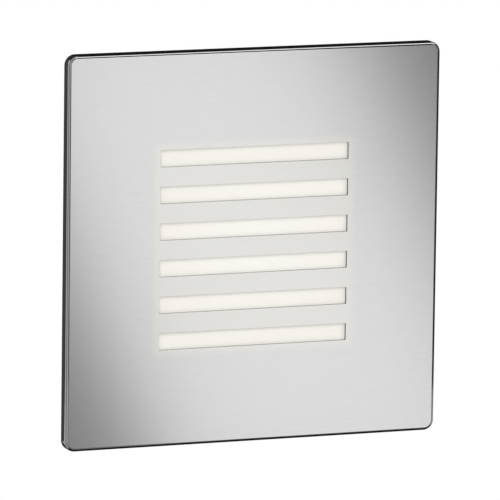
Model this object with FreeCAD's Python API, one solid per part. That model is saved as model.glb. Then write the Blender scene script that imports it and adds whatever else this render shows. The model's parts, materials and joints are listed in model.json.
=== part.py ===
import FreeCAD, Part
import math
import os

from FreeCAD import Vector

# Recessed step light for an outdoor wall: a square stainless plate with horizontal light
# slots in front of a lit opal panel. The lamp unit slides into a moulded box that is sunk
# in the wall, where two hinged spring clips grip the box's sides.
#
# Frame, in millimetres: the wall's surface is the plane Y = 0, the room side is -Y, the
# inside of the wall is +Y, X runs to the right as seen from the room, and +Z is up.
# The origin is the middle of the wall opening.

# ---------------------------------------------------------------- front plate
plate_side = 140.0            # outside width and height of the pressed pan
plate_sheet = 1.0             # stainless sheet
plate_face_to_wall = 4.4      # how far the face stands out from the wall
plate_rim_to_wall = 0.5       # the rim stops this short of the wall
plate_corner_radius = 3.8     # outline corners, seen from the front
plate_bend_radius = 1.2       # outer radius of the bend from face to rim
slot_count = 6
slot_length = 71.0
slot_height = 6.0
slot_pitch = 13.0
slot_corner_radius = 0.25

stud_radius = 1.5             # weld studs on the back of the plate
stud_base_radius = 2.2
stud_base_height = 0.5
stud_hole_clearance = 0.2
stud_to_box_wall = 5.0
stud_beyond_nut = 1.0
washer_radius = 4.0
washer_thickness = 0.6
nut_across_flats = 5.5
nut_height = 2.4
thread_clearance = 0.1        # between a plain shank and the nut or washer on it

# ---------------------------------------------------------------- seal to the wall
gasket_width = 5.0
gasket_to_rim = 0.3
gasket_to_box_flange = 0.7

# ---------------------------------------------------------------- box in the wall
box_flange_lip = 4.0          # how far the flange reaches past the box's outside
box_flange_thickness = 1.2
box_wall = 2.0
box_depth = 62.0
box_corner_radius = 4.0
box_inner_corner_radius = 0.5
box_step = 0.6                # the back stretch is this much smaller on each side
box_step_y = 18.0
box_rib_height = 2.4
box_rib_thickness = 2.0
box_front_rib_y = 12.0
box_back_rib_inset = 6.0      # back rib's centre, ahead of the back face
fixing_spacing = 80.0
fixing_hole_radius = 2.25
fixing_pad_radius = 5.5
fixing_pad_height = 1.0

entry_radius = 10.0           # cable entries in the box's top and bottom walls
grommet_lip_width = 2.5
grommet_lip_thickness = 1.5
grommet_membrane = 1.2
grommet_cone_height = 3.0
grommet_spout = 3.0
grommet_to_hole = 0.05
cable_hole_radius = 4.0

# ---------------------------------------------------------------- lamp housing
housing_flange_inset = 2.0    # lamp flange's edge, inside the box flange's edge
housing_flange_to_box = 0.2
housing_wall = 2.0
housing_corner_radius = 4.0
partition_thickness = 2.0

stud_bay_width = 11.4         # from the box's wall to the lamp's collar, for the studs
diffuser_thickness = 2.0
diffuser_corner_radius = 2.0
diffuser_clearance = 0.2
ledge_width = 4.0             # ledge that carries the opal panel and its seal
ledge_thickness = 2.0
seal_thickness = 1.0
collar_wall = 2.4

reflector_wall = 1.2
reflector_clearance = 0.2
reflector_band = 3.0          # straight band at the reflector's mouth
reflector_to_led = 2.8        # reflector's foot from the outermost diodes
optical_depth = 14.3          # opal panel's back to the circuit board's front

# ---------------------------------------------------------------- light source
board_thickness = 1.6
board_inset = 1.0             # board's edge, inside the spreader's edge
spreader_thickness = 1.5
spreader_inset = 2.0          # spreader's edge, inside the housing's cavity
led_rows = 4
led_edge_margin = 16.5        # outer diodes' centres, inside the board's edge
led_width = 2.8
led_length = 3.5
led_height = 0.7
led_rim = 0.35
board_screw_inset = 3.0       # board screw's axis, inside the corner column's inner faces
connector_width = 5.0
connector_length = 8.0
connector_height = 4.0
connector_to_edge = 0.8
lead_hole_drop = 13.0         # lead hole's centre, below the connector's centre
lead_hole_clearance = 0.8     # round the pair of leads

# ---------------------------------------------------------------- driver bay
bay_depth = 20.0
corner_boss_side = 9.0
cover_screw_inset = 4.5       # cover screw's axis, inside the cavity wall
rear_seal_thickness = 1.0
rear_seal_width = 4.0
cover_thickness = 2.5
cover_lip_depth = 2.0
cover_lip_thickness = 1.5
cover_lip_clearance = 0.3

spacer_radius = 3.2
spacer_height = 4.0
driver_to_leads = 0.6         # driver board's edge, inside the leads of the light source
driver_height = 44.0
driver_screw_inset = 5.0

transformer_x = -4.0          # driver's components: places of their middles on the board
transformer_z = -2.0
core_width = 16.0
core_length = 6.5
core_height = 11.0
core_limb = 3.0
winding_length = 13.0
winding_clearance = 0.2
can_from_edge = 13.0          # can's axis, inside the board's right edge
can_z = 7.0
can_radius = 4.8
can_height = 12.0
can_groove = 0.5
film_from_edge = 12.5         # film capacitor's middle, inside the board's right edge
film_z = -11.2
film_width = 13.0
film_length = 5.5
film_height = 9.0
film_chamfer = 0.5
choke_from_edge = 6.0         # choke's axis, inside the board's left edge
choke_z = -8.0
choke_radius = 4.0
choke_waist = 3.3
choke_height = 9.0
choke_rim = 1.2
varistor_from_edge = 8.0      # varistor's middle, inside the board's left edge
varistor_z = 6.0
varistor_radius = 3.6
varistor_thickness = 2.6
rectifier_to_film = 3.0
rectifier_z = -16.0
rectifier_width = 8.0
rectifier_length = 6.0
rectifier_height = 3.2

# ---------------------------------------------------------------- screws
screw_radius = 1.4
screw_head_radius = 2.7
screw_head_height = 1.9
screw_hole_clearance = 0.25
pilot_clearance = 0.02
pilot_spare_depth = 1.0
cross_width = 0.7
cross_depth = 1.0
head_chamfer = 0.45
long_screw_length = 12.0

# ---------------------------------------------------------------- terminal and cable clamp
pole_pitch = 10.0
terminal_width = 22.0
terminal_length = 18.0
terminal_height = 12.0
terminal_z = 8.0
terminal_edge_chamfer = 1.0
barrel_radius = 2.7           # brass barrel that takes the wires
barrel_bore_radius = 1.7
barrel_length = 15.0
barrel_stop = 1.0             # web between the two wire holes
barrel_clearance = 0.05
barrel_axis_height = 5.0      # above the cover
terminal_screw_radius = 1.25
terminal_screw_offset = 4.0   # from the terminal's middle
terminal_screw_clearance = 0.05
terminal_screw_recess = 1.0   # loosened screw's top, below the block's top
terminal_driver_radius = 1.9  # hole over each screw

clamp_z = -20.0
clamp_post_spacing = 19.0
clamp_post_radius = 3.6
clamp_gap = 6.4               # room for the supply cable under the bar
clamp_bar_thickness = 3.0
clamp_bar_width = 8.0

lead_grommet_inset = 11.0     # grommet's axis, below the housing's top
lead_grommet_radius = 3.4
lead_grommet_lip = 1.3
lead_grommet_lip_thickness = 1.0
lead_diameter = 1.6
lead_spacing = 2.6            # between the axes of two leads side by side
lead_to_hole = 0.1
supply_pad_z = 19.0           # where the supply leads meet the driver's board
supply_pad_spacing = 4.0
led_pad_from_edge = 4.0       # where the LED leads meet the driver's board
led_pad_z = 2.0

# ---------------------------------------------------------------- spring clips
clip_pivot_out = 5.0          # pivot's axis, outside the housing's side
clip_pivot_y = 8.0
clip_width = 12.0
clip_sheet = 0.8
clip_arm_length = 26.0
clip_arm_offset = 3.2         # arm's middle plane from the pivot's axis
clip_arm_root = 3.0
clip_hook_radius = 2.4
clip_hook_turn = 115.0
clip_tab_radius = 3.0
clip_window_width = 4.0
clip_window_length = 12.0
clip_tip_to_box = 1.3
pin_radius = 1.25
pin_running_clearance = 0.08
pin_seat_clearance = 0.03
pin_head_radius = 2.2
pin_head_height = 0.8
bracket_sheet = 1.2
ear_radius = 3.4
ear_to_tab = 0.3
rivet_from_ear = 3.4          # rivet's axis, past the ear
rivet_radius = 1.2
rivet_head_radius = 2.0
rivet_head_height = 0.8
rivet_clearance = 0.03
spring_wire = 0.9
spring_coil_radius = 2.1
spring_turns = 4
spring_pitch = 1.15
spring_leg_length = 12.0
spring_leg_to_wall = 0.1

# ---------------------------------------------------------------- levels along Y
face_y = -plate_face_to_wall
plate_back_y = face_y + plate_sheet
housing_flange_back_y = -box_flange_thickness - housing_flange_to_box
diffuser_back_y = plate_back_y + diffuser_thickness
ledge_y = diffuser_back_y + seal_thickness
ledge_back_y = ledge_y + ledge_thickness
board_front_y = diffuser_back_y + optical_depth
spreader_front_y = board_front_y + board_thickness
partition_y = spreader_front_y + spreader_thickness
bay_y = partition_y + partition_thickness
housing_end_y = bay_y + bay_depth
cover_front_y = housing_end_y + rear_seal_thickness
cover_back_y = cover_front_y + cover_thickness
driver_front_y = bay_y + spacer_height
driver_back_y = driver_front_y + board_thickness
barrel_y = cover_back_y + barrel_axis_height
terminal_back_y = cover_back_y + terminal_height
clamp_bar_y = cover_back_y + clamp_gap

# ---------------------------------------------------------------- widths that follow
plate_inside = plate_side - 2 * plate_sheet
gasket_side = plate_inside - 2 * gasket_to_rim
box_flange_side = gasket_side - 2 * gasket_width - 2 * gasket_to_box_flange
box_side = box_flange_side - 2 * box_flange_lip
box_inside = box_side - 2 * box_wall
housing_flange_side = box_flange_side - 2 * housing_flange_inset
collar_side = box_inside - 2 * stud_bay_width
rebate_side = collar_side - 2 * collar_wall
diffuser_side = rebate_side - 2 * diffuser_clearance
cavity_side = diffuser_side - 2 * ledge_width
housing_side = cavity_side + 2 * housing_wall
spreader_side = cavity_side - 2 * spreader_inset
board_side = spreader_side - 2 * board_inset
entry_y = (box_step_y + box_depth - box_back_rib_inset) / 2
stud_offset = box_inside / 2 - stud_to_box_wall
led_pitch = (board_side - 2 * led_edge_margin) / (led_rows - 1)
led_span = board_side - 2 * led_edge_margin + max(led_width, led_length)
reflector_foot_side = led_span + 2 * reflector_to_led
board_screw_offset = cavity_side / 2 - corner_boss_side + board_screw_inset
lead_hole_radius = lead_spacing / 2 + lead_diameter / 2 + lead_hole_clearance
lead_grommet_z = housing_side / 2 - lead_grommet_inset
cover_screw_offset = cavity_side / 2 - cover_screw_inset
connector_x = board_side / 2 - connector_to_edge - connector_width / 2
driver_width = 2 * (connector_x - lead_spacing / 2 - lead_diameter / 2 - driver_to_leads)
driver_screw_x = driver_width / 2 - driver_screw_inset
driver_screw_z = driver_height / 2 - driver_screw_inset
can_x = driver_width / 2 - can_from_edge
film_x = driver_width / 2 - film_from_edge
choke_x = choke_from_edge - driver_width / 2
varistor_x = varistor_from_edge - driver_width / 2
rectifier_x = film_x - film_width / 2 - rectifier_to_film - rectifier_width / 2
led_pad_x = driver_width / 2 - led_pad_from_edge
clip_pivot_x = housing_side / 2 + clip_pivot_out


# ================================================================ shape helpers
def block(x0, x1, y0, y1, z0, z1):
    """Plain box between two corners."""
    return Part.makeBox(x1 - x0, y1 - y0, z1 - z0, Vector(x0, y0, z0))


def rod(radius, start, end):
    """Cylinder from one point to another."""
    axis = end - start
    return Part.makeCylinder(radius, axis.Length, start, axis)


def rod_y(radius, y0, y1, x=0.0, z=0.0):
    """Cylinder along Y."""
    return rod(radius, Vector(x, y0, z), Vector(x, y1, z))


def rounded_outline(width, height, radius, y, x=0.0, z=0.0):
    """Closed wire in the plane Y = y: a rectangle with round corners."""
    edges = []
    corners = [(1, 1), (-1, 1), (-1, -1), (1, -1)]
    starts = []
    for turn, (side_x, side_z) in enumerate(corners):
        middle = Vector(x + side_x * (width / 2 - radius), y, z + side_z * (height / 2 - radius))
        points = []
        for part_turn in (0.0, 0.5, 1.0):
            angle = math.radians(90.0 * (turn + part_turn))
            points.append(middle + Vector(math.cos(angle), 0, math.sin(angle)) * radius)
        starts.append(points)
    for turn, points in enumerate(starts):
        edges.append(Part.Arc(*points).toShape())
        edges.append(Part.makeLine(points[2], starts[(turn + 1) % 4][0]))
    return Part.Wire(edges)


def rounded_plate(width, height, radius, y0, y1, x=0.0, z=0.0):
    """Prism along Y with round corners."""
    face = Part.Face(rounded_outline(width, height, radius, y0, x, z))
    return face.extrude(Vector(0, y1 - y0, 0))


def square_plate(side, radius, y0, y1):
    """Square prism along Y about the axis of the lamp."""
    return rounded_plate(side, side, radius, y0, y1)


def square_ring(outside, inside, radius, y0, y1):
    """Square frame of even width, with concentric round corners."""
    width = (outside - inside) / 2
    inner_radius = max(radius - width, radius / 4)
    return square_plate(outside, radius, y0, y1).cut(square_plate(inside, inner_radius, y0, y1))


def four_corners(offset_x, offset_z=None):
    """The four (x, z) places at plus and minus the offsets."""
    offset_z = offset_x if offset_z is None else offset_z
    return [(sx * offset_x, sz * offset_z) for sx in (-1, 1) for sz in (-1, 1)]


def joined(shapes):
    """One solid from shapes that share volume or faces."""
    return shapes[0].fuse(shapes[1:]).removeSplitter()


def drilled(shape, radius, places, y0, y1):
    """Shape with a hole along Y at each (x, z) place."""
    return shape.cut([rod_y(radius, y0, y1, x, z) for x, z in places])


def mirrored(shape):
    """The left-hand twin of a right-hand piece."""
    return shape.mirror(Vector(0, 0, 0), Vector(1, 0, 0))


def edges_in_plane(shape, y):
    """Edges that lie in the plane Y = y."""
    return [e for e in shape.Edges if all(abs(v.Y - y) < 1e-6 for v in e.Vertexes)]


def screw(x, z, seat_y, away, length, radius=screw_radius):
    """Pan-head screw along Y. Its head sits on seat_y, on the side that away points to."""
    head_end = seat_y + away * screw_head_height
    head = rod_y(screw_head_radius, seat_y, head_end, x, z)
    head = head.makeChamfer(head_chamfer, edges_in_plane(head, head_end))
    shank = rod_y(radius, seat_y, seat_y - away * length, x, z)
    half_long, half_wide = screw_head_radius * 0.6, cross_width / 2
    y0, y1 = sorted((head_end, head_end - away * cross_depth))
    cross = [
        block(x - half_long, x + half_long, y0, y1, z - half_wide, z + half_wide),
        block(x - half_wide, x + half_wide, y0, y1, z - half_long, z + half_long),
    ]
    return joined([head, shank]).cut(cross)


def rounded_path(points):
    """Straight runs joined by tangent arcs, and the smallest arc radius."""
    edges = []
    start = points[0]
    smallest = None
    for before, corner, after in zip(points, points[1:], points[2:]):
        run_in, run_out = corner - before, after - corner
        turn = run_in.getAngle(run_out)
        trim = 0.45 * min(run_in.Length, run_out.Length)
        radius = trim / math.tan(turn / 2)
        smallest = radius if smallest is None else min(smallest, radius)
        unit_in, unit_out = Vector(run_in).normalize(), Vector(run_out).normalize()
        arc_start, arc_end = corner - unit_in * trim, corner + unit_out * trim
        inwards = (unit_out - unit_in).normalize()
        middle = corner + inwards * (radius / math.cos(turn / 2) - radius)
        edges.append(Part.makeLine(start, arc_start))
        edges.append(Part.Arc(arc_start, middle, arc_end).toShape())
        start = arc_end
    edges.append(Part.makeLine(start, points[-1]))
    return Part.Wire(edges), smallest


def swept_wire(path, radius):
    """Round wire along a path."""
    first = path.OrderedEdges[0]
    start = first.valueAt(first.FirstParameter)
    heading = first.tangentAt(first.FirstParameter)
    if first.Orientation == "Reversed":
        start, heading = first.valueAt(first.LastParameter), first.tangentAt(first.LastParameter) * -1
    profile = Part.Wire([Part.makeCircle(radius, start, heading)])
    return path.makePipeShell([profile], True, True)


def insulated_lead(name, points):
    """Insulated lead along hand-chosen points, with its length and tightest bend printed."""
    path, smallest = rounded_path([Vector(*p) for p in points])
    tube = swept_wire(path, lead_diameter / 2)
    expected = math.pi * (lead_diameter / 2) ** 2 * path.Length
    print(f"{name}: {path.Length:.1f} mm long, tightest bend {smallest:.1f} mm, "
          f"volume {tube.Volume / expected:.3f} of its section times its length")
    return tube


# ================================================================ front plate
def front_plate():
    """Pressed pan: flat face, rounded bends, shallow rim, and the light slots."""
    rim_y = -plate_rim_to_wall
    outside = square_plate(plate_side, plate_corner_radius, face_y, rim_y)
    outside = outside.makeFillet(plate_bend_radius, edges_in_plane(outside, face_y))
    inside_radius = plate_corner_radius - plate_sheet
    inside = square_plate(plate_inside, inside_radius, plate_back_y, rim_y)
    inner_bend = plate_bend_radius - plate_sheet
    if inner_bend > 0:
        inside = inside.makeFillet(inner_bend, edges_in_plane(inside, plate_back_y))
    return outside.cut(inside).cut(light_slots())


def light_slots():
    """Cutting bodies of the horizontal slots, from the top one down."""
    slots = []
    for row in range(slot_count):
        z = ((slot_count - 1) / 2 - row) * slot_pitch
        slots.append(rounded_plate(slot_length, slot_height, slot_corner_radius, face_y, plate_back_y, z=z))
    return slots


def stud_end_y():
    """Rear end of the weld studs, past their nuts."""
    return housing_flange_back_y + washer_thickness + nut_height + stud_beyond_nut


def plate_studs():
    """Weld studs on the back of the plate, near its corners."""
    studs = []
    for x, z in four_corners(stud_offset):
        base = rod_y(stud_base_radius, plate_back_y, plate_back_y + stud_base_height, x, z)
        shank = rod_y(stud_radius, plate_back_y, stud_end_y(), x, z)
        shank = shank.makeChamfer(stud_radius / 4, edges_in_plane(shank, stud_end_y()))
        studs.append(joined([base, shank]))
    return studs


def stud_washers():
    """Plain washers between the lamp housing's flange and the nuts."""
    y0, y1 = housing_flange_back_y, housing_flange_back_y + washer_thickness
    washers = []
    for x, z in four_corners(stud_offset):
        washer = rod_y(washer_radius, y0, y1, x, z)
        washers.append(drilled(washer, stud_radius + thread_clearance, [(x, z)], y0, y1))
    return washers


def stud_nuts():
    """Hexagon nuts that hold the plate to the lamp housing."""
    y0 = housing_flange_back_y + washer_thickness
    corner = nut_across_flats / math.sqrt(3)
    nuts = []
    for x, z in four_corners(stud_offset):
        points = []
        for side in range(7):
            angle = math.radians(60 * side)
            points.append(Vector(x + corner * math.cos(angle), y0, z + corner * math.sin(angle)))
        nut = Part.Face(Part.makePolygon(points)).extrude(Vector(0, nut_height, 0))
        nuts.append(drilled(nut, stud_radius + thread_clearance, [(x, z)], y0, y0 + nut_height))
    return nuts


def wall_gasket():
    """Foam rubber frame inside the plate's rim, pressed between the plate and the wall."""
    radius = plate_corner_radius - plate_sheet - gasket_to_rim
    return square_ring(gasket_side, gasket_side - 2 * gasket_width, radius, plate_back_y, 0.0)


# ================================================================ box in the wall
def recess_box():
    """Moulded box with its front flange, holding ribs, fixing holes and cable entries."""
    back_side = box_side - 2 * box_step
    shapes = [
        square_plate(box_flange_side, box_corner_radius, -box_flange_thickness, 0.0),
        square_plate(box_side, box_corner_radius, -box_flange_thickness, box_step_y),
        square_plate(back_side, box_corner_radius, box_step_y, box_depth),
    ]
    for rib_y in (box_front_rib_y, box_depth - box_back_rib_inset):
        rib_side = box_side + 2 * box_rib_height
        y0, y1 = rib_y - box_rib_thickness / 2, rib_y + box_rib_thickness / 2
        shapes.append(square_plate(rib_side, box_corner_radius + box_rib_height, y0, y1))
    floor_y = box_depth - box_wall
    hollow = [
        square_plate(box_inside, box_inner_corner_radius, -box_flange_thickness, box_step_y),
        square_plate(box_inside - 2 * box_step, box_inner_corner_radius, box_step_y, floor_y),
    ]
    shell = joined(shapes).cut(joined(hollow))
    places = four_corners(fixing_spacing / 2)
    pads = [rod_y(fixing_pad_radius, floor_y - fixing_pad_height, floor_y, x, z) for x, z in places]
    shell = joined([shell] + pads)
    shell = drilled(shell, fixing_hole_radius, places, floor_y - fixing_pad_height, box_depth)
    reach = box_side / 2 + box_rib_height
    entries = rod(entry_radius, Vector(0, entry_y, -reach), Vector(0, entry_y, reach))
    return shell.cut(entries)


def grommet_outline(nose):
    """Half section of an entry grommet, as (radius, depth below the box's middle)."""
    wall_out = box_side / 2 - box_step
    wall_in = wall_out - box_wall
    lip = entry_radius + grommet_lip_width
    neck = entry_radius - grommet_to_hole
    hollow = neck - grommet_lip_thickness
    foot, top = wall_out + grommet_lip_thickness, wall_in - grommet_lip_thickness
    cone_end = foot + grommet_cone_height
    return [
        (nose, cone_end - grommet_membrane),
        (hollow, foot - grommet_membrane),
        (hollow, top),
        (lip, top),
        (lip, wall_in),
        (neck, wall_in),
        (neck, wall_out),
        (lip, wall_out),
        (lip, foot),
        (hollow, foot),
        (nose + grommet_membrane, cone_end),
    ]


def revolved_grommet(outline):
    """Grommet in the box's bottom wall, revolved from its half section."""
    points = [Vector(radius, entry_y, -depth) for radius, depth in outline]
    face = Part.Face(Part.makePolygon(points + points[:1]))
    return face.revolve(Vector(0, entry_y, 0), Vector(0, 0, 1), 360)


def cable_grommet():
    """Rubber grommet in the bottom wall, with a spout for the supply cable."""
    outline = grommet_outline(cable_hole_radius)
    spout_end = outline[-1][1] + grommet_spout
    return revolved_grommet(outline + [
        (cable_hole_radius + grommet_membrane, spout_end),
        (cable_hole_radius, spout_end),
    ])


def blanking_grommet():
    """Closed grommet in the unused entry, in the top wall."""
    outline = grommet_outline(cable_hole_radius)
    closed = [(0.0, outline[-1][1]), (0.0, outline[0][1])]
    return revolved_grommet(outline + closed).mirror(Vector(0, 0, 0), Vector(0, 0, 1))


# ================================================================ lamp housing
def corner_bosses(y0, y1):
    """Square columns in the corners of the driver bay."""
    half = cavity_side / 2
    columns = []
    for sx in (-1, 1):
        for sz in (-1, 1):
            x0, x1 = sorted((sx * half, sx * (half - corner_boss_side)))
            z0, z1 = sorted((sz * half, sz * (half - corner_boss_side)))
            columns.append(block(x0, x1, y0, y1, z0, z1))
    return columns


def lead_hole_place():
    """(x, z) of the hole that the LED leads pass through, below the board's connector."""
    return connector_x, -lead_hole_drop


def inner_housing():
    """Moulded tub: flange, collar with ledge, LED chamber, partition and driver bay."""
    flange = square_plate(housing_flange_side, housing_corner_radius, plate_back_y, housing_flange_back_y)
    collar = square_plate(collar_side, housing_corner_radius, plate_back_y, ledge_back_y)
    tub = square_plate(housing_side, housing_corner_radius, ledge_y, housing_end_y)
    body = joined([flange, collar, tub])
    cavity_radius = housing_corner_radius - housing_wall
    rebate_radius = diffuser_corner_radius + diffuser_clearance
    body = body.cut([
        square_plate(rebate_side, rebate_radius, plate_back_y, ledge_y),
        square_plate(cavity_side, cavity_radius, ledge_y, partition_y),
    ])
    bay = square_plate(cavity_side, cavity_radius, bay_y, housing_end_y)
    body = body.cut(bay.cut(corner_bosses(bay_y, housing_end_y)))
    stud_hole = stud_base_radius + stud_hole_clearance
    body = drilled(body, stud_hole, four_corners(stud_offset), plate_back_y, housing_flange_back_y)
    pilot = screw_radius + pilot_clearance
    board_screw_end = board_front_y + long_screw_length - pilot_spare_depth
    body = drilled(body, pilot, four_corners(board_screw_offset), partition_y, board_screw_end)
    cover_screw_start = cover_back_y - long_screw_length - pilot_spare_depth
    body = drilled(body, pilot, four_corners(cover_screw_offset), cover_screw_start, housing_end_y)
    body = drilled(body, pilot, four_corners(driver_screw_x, driver_screw_z), partition_y, bay_y)
    body = body.cut(rivet_shanks(rivet_clearance))
    return drilled(body, lead_hole_radius, [lead_hole_place()], partition_y, bay_y)


def diffuser():
    """Opal panel behind the slots."""
    return square_plate(diffuser_side, diffuser_corner_radius, plate_back_y, diffuser_back_y)


def diffuser_seal():
    """Flat silicone frame between the opal panel and the housing's ledge."""
    inside = cavity_side + 2 * reflector_clearance
    return square_ring(diffuser_side, inside, diffuser_corner_radius, diffuser_back_y, ledge_y)


def reflector():
    """White tapered frame from the circuit board to the opal panel."""
    mouth = cavity_side - 2 * reflector_clearance
    foot = reflector_foot_side + 2 * reflector_wall
    band_y = diffuser_back_y + reflector_band
    radius = housing_corner_radius - housing_wall

    def horn(mouth_side, foot_side, corner):
        band = square_plate(mouth_side, corner, diffuser_back_y, band_y)
        taper = Part.makeLoft([
            rounded_outline(mouth_side, mouth_side, corner, band_y),
            rounded_outline(foot_side, foot_side, corner, board_front_y),
        ], True, True)
        return joined([band, taper])

    return horn(mouth, foot, radius).cut(
        horn(mouth - 2 * reflector_wall, reflector_foot_side, radius - reflector_wall / 2))


# ================================================================ light source
def heat_spreader():
    """Aluminium plate between the circuit board and the partition."""
    radius = housing_corner_radius - housing_wall
    plate = square_plate(spreader_side, radius, spreader_front_y, partition_y)
    hole = screw_radius + screw_hole_clearance
    plate = drilled(plate, hole, four_corners(board_screw_offset), spreader_front_y, partition_y)
    return drilled(plate, lead_hole_radius, [lead_hole_place()], spreader_front_y, partition_y)


def led_board():
    """Metal-core circuit board, with a notch at its edge for the leads."""
    radius = housing_corner_radius - housing_wall
    board = square_plate(board_side, radius, board_front_y, spreader_front_y)
    hole = screw_radius + screw_hole_clearance
    board = drilled(board, hole, four_corners(board_screw_offset), board_front_y, spreader_front_y)
    x, z = lead_hole_place()
    notch = block(x, board_side / 2, board_front_y, spreader_front_y,
                  z - lead_hole_radius, z + lead_hole_radius)
    return drilled(board.cut(notch), lead_hole_radius, [(x, z)], board_front_y, spreader_front_y)


def led_places():
    """(x, z) of each light-emitting diode."""
    reach = (led_rows - 1) / 2
    steps = [(step - reach) * led_pitch for step in range(led_rows)]
    return [(x, z) for x in steps for z in steps]


def led_packages():
    """White diode bodies, each with a pocket in its front."""
    half_wide, half_long = led_width / 2, led_length / 2
    front = board_front_y - led_height
    pocket_y = front + led_height / 2
    bodies = []
    for x, z in led_places():
        body = block(x - half_wide, x + half_wide, front, board_front_y, z - half_long, z + half_long)
        pocket = block(x - half_wide + led_rim, x + half_wide - led_rim, front, pocket_y,
                       z - half_long + led_rim, z + half_long - led_rim)
        bodies.append(body.cut(pocket))
    return bodies


def led_phosphors():
    """Phosphor filling of each diode's pocket."""
    half_wide, half_long = led_width / 2 - led_rim, led_length / 2 - led_rim
    front = board_front_y - led_height
    pocket_y = front + led_height / 2
    return [
        block(x - half_wide, x + half_wide, front, pocket_y, z - half_long, z + half_long)
        for x, z in led_places()
    ]


def board_connector():
    """Two-way connector on the board's right edge, with its wire holes underneath."""
    x0, x1 = connector_x - connector_width / 2, connector_x + connector_width / 2
    y0 = board_front_y - connector_height
    body = block(x0, x1, y0, board_front_y, -connector_length / 2, connector_length / 2)
    holes = []
    for x in lead_pair_x(connector_x):
        start = Vector(x, board_front_y - connector_height / 2, -connector_length / 2)
        end = start + Vector(0, 0, connector_length / 2)
        holes.append(rod(lead_diameter / 2 + lead_to_hole, start, end))
    return body.cut(holes)


def lead_pair_x(middle):
    """X of two leads side by side."""
    return middle - lead_spacing / 2, middle + lead_spacing / 2


def board_screws():
    """Screws that hold the board and the spreader to the housing's corner columns."""
    length = long_screw_length - 2 * pilot_spare_depth
    return [screw(x, z, board_front_y, -1, length) for x, z in four_corners(board_screw_offset)]


# ================================================================ driver
def driver_board():
    """Circuit board of the driver, on four spacers."""
    board = rounded_plate(driver_width, driver_height, 1.0, driver_front_y, driver_back_y)
    places = four_corners(driver_screw_x, driver_screw_z)
    return drilled(board, screw_radius + screw_hole_clearance, places, driver_front_y, driver_back_y)


def driver_spacers():
    """Round spacers between the partition and the driver's board."""
    spacers = []
    for x, z in four_corners(driver_screw_x, driver_screw_z):
        spacer = rod_y(spacer_radius, bay_y, driver_front_y, x, z)
        hole = screw_radius + screw_hole_clearance
        spacers.append(drilled(spacer, hole, [(x, z)], bay_y, driver_front_y))
    return spacers


def driver_screws():
    """Screws through the driver's board and its spacers into the partition."""
    length = driver_back_y - partition_y - screw_hole_clearance
    return [screw(x, z, driver_back_y, 1, length) for x, z in four_corners(driver_screw_x, driver_screw_z)]


def transformer_core():
    """Ferrite frame of the transformer, open along Z for its winding."""
    y0, y1 = driver_back_y, driver_back_y + core_height
    x0, x1 = transformer_x - core_width / 2, transformer_x + core_width / 2
    z0, z1 = transformer_z - core_length / 2, transformer_z + core_length / 2
    frame = block(x0, x1, y0, y1, z0, z1)
    window = block(x0 + core_limb, x1 - core_limb, y0 + core_limb, y1 - core_limb, z0, z1)
    return frame.cut(window)


def transformer_winding():
    """Taped winding through the core, with the bobbin's feet at both ends of it."""
    y0, y1 = driver_back_y + core_limb, driver_back_y + core_height - core_limb
    half_width = core_width / 2 - core_limb - winding_clearance
    half_length = winding_length / 2
    winding = block(transformer_x - half_width, transformer_x + half_width, y0, y1,
                    transformer_z - half_length, transformer_z + half_length)
    feet = []
    for side in (-1, 1):
        near = transformer_z + side * (core_length / 2 + winding_clearance)
        z0, z1 = sorted((near, transformer_z + side * half_length))
        feet.append(block(transformer_x - core_width / 2, transformer_x + core_width / 2,
                          driver_back_y, y0, z0, z1))
    return joined([winding] + feet)


def turned_component(x, z, outline):
    """Round component that stands on the driver's board, from its (radius, height) outline."""
    points = [Vector(x + radius, driver_back_y + height, z) for radius, height in outline]
    face = Part.Face(Part.makePolygon(points + points[:1]))
    return face.revolve(Vector(x, 0, z), Vector(0, 1, 0), 360)


def smoothing_capacitor():
    """Round can standing on the driver's board, with a crimped groove near its foot."""
    groove_y = can_radius / 3
    return turned_component(can_x, can_z, [
        (0.0, 0.0),
        (can_radius, 0.0),
        (can_radius, groove_y - can_groove),
        (can_radius - can_groove, groove_y),
        (can_radius, groove_y + can_groove),
        (can_radius, can_height - can_groove),
        (can_radius - can_groove, can_height),
        (0.0, can_height),
    ])


def film_capacitor():
    """Boxed film capacitor at the driver's input."""
    top = driver_back_y + film_height
    body = block(film_x - film_width / 2, film_x + film_width / 2, driver_back_y, top,
                 film_z - film_length / 2, film_z + film_length / 2)
    return body.makeChamfer(film_chamfer, edges_in_plane(body, top))


def driver_choke():
    """Drum choke: two flanges with the winding between them."""
    return turned_component(choke_x, choke_z, [
        (0.0, 0.0),
        (choke_radius, 0.0),
        (choke_radius, choke_rim),
        (choke_waist, choke_rim),
        (choke_waist, choke_height - choke_rim),
        (choke_radius, choke_height - choke_rim),
        (choke_radius, choke_height),
        (0.0, choke_height),
    ])


def varistor():
    """Disc varistor standing on its edge."""
    start = Vector(varistor_x - varistor_thickness / 2, driver_back_y + varistor_radius, varistor_z)
    return rod(varistor_radius, start, start + Vector(varistor_thickness, 0, 0))


def rectifier():
    """Bridge rectifier block."""
    half_wide, half_long = rectifier_width / 2, rectifier_length / 2
    return block(rectifier_x - half_wide, rectifier_x + half_wide, driver_back_y,
                 driver_back_y + rectifier_height, rectifier_z - half_long, rectifier_z + half_long)


# ================================================================ rear cover
def rear_seal():
    """Flat seal between the housing's end and the rear cover, widened round the screws."""
    y0, y1 = housing_end_y, cover_front_y
    outside = square_plate(housing_side, housing_corner_radius, y0, y1)
    inside = square_plate(housing_side - 2 * rear_seal_width, housing_corner_radius / 2, y0, y1)
    ring = outside.cut(inside.cut(corner_bosses(y0, y1)))
    return drilled(ring, screw_radius + screw_hole_clearance, four_corners(cover_screw_offset), y0, y1)


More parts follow.
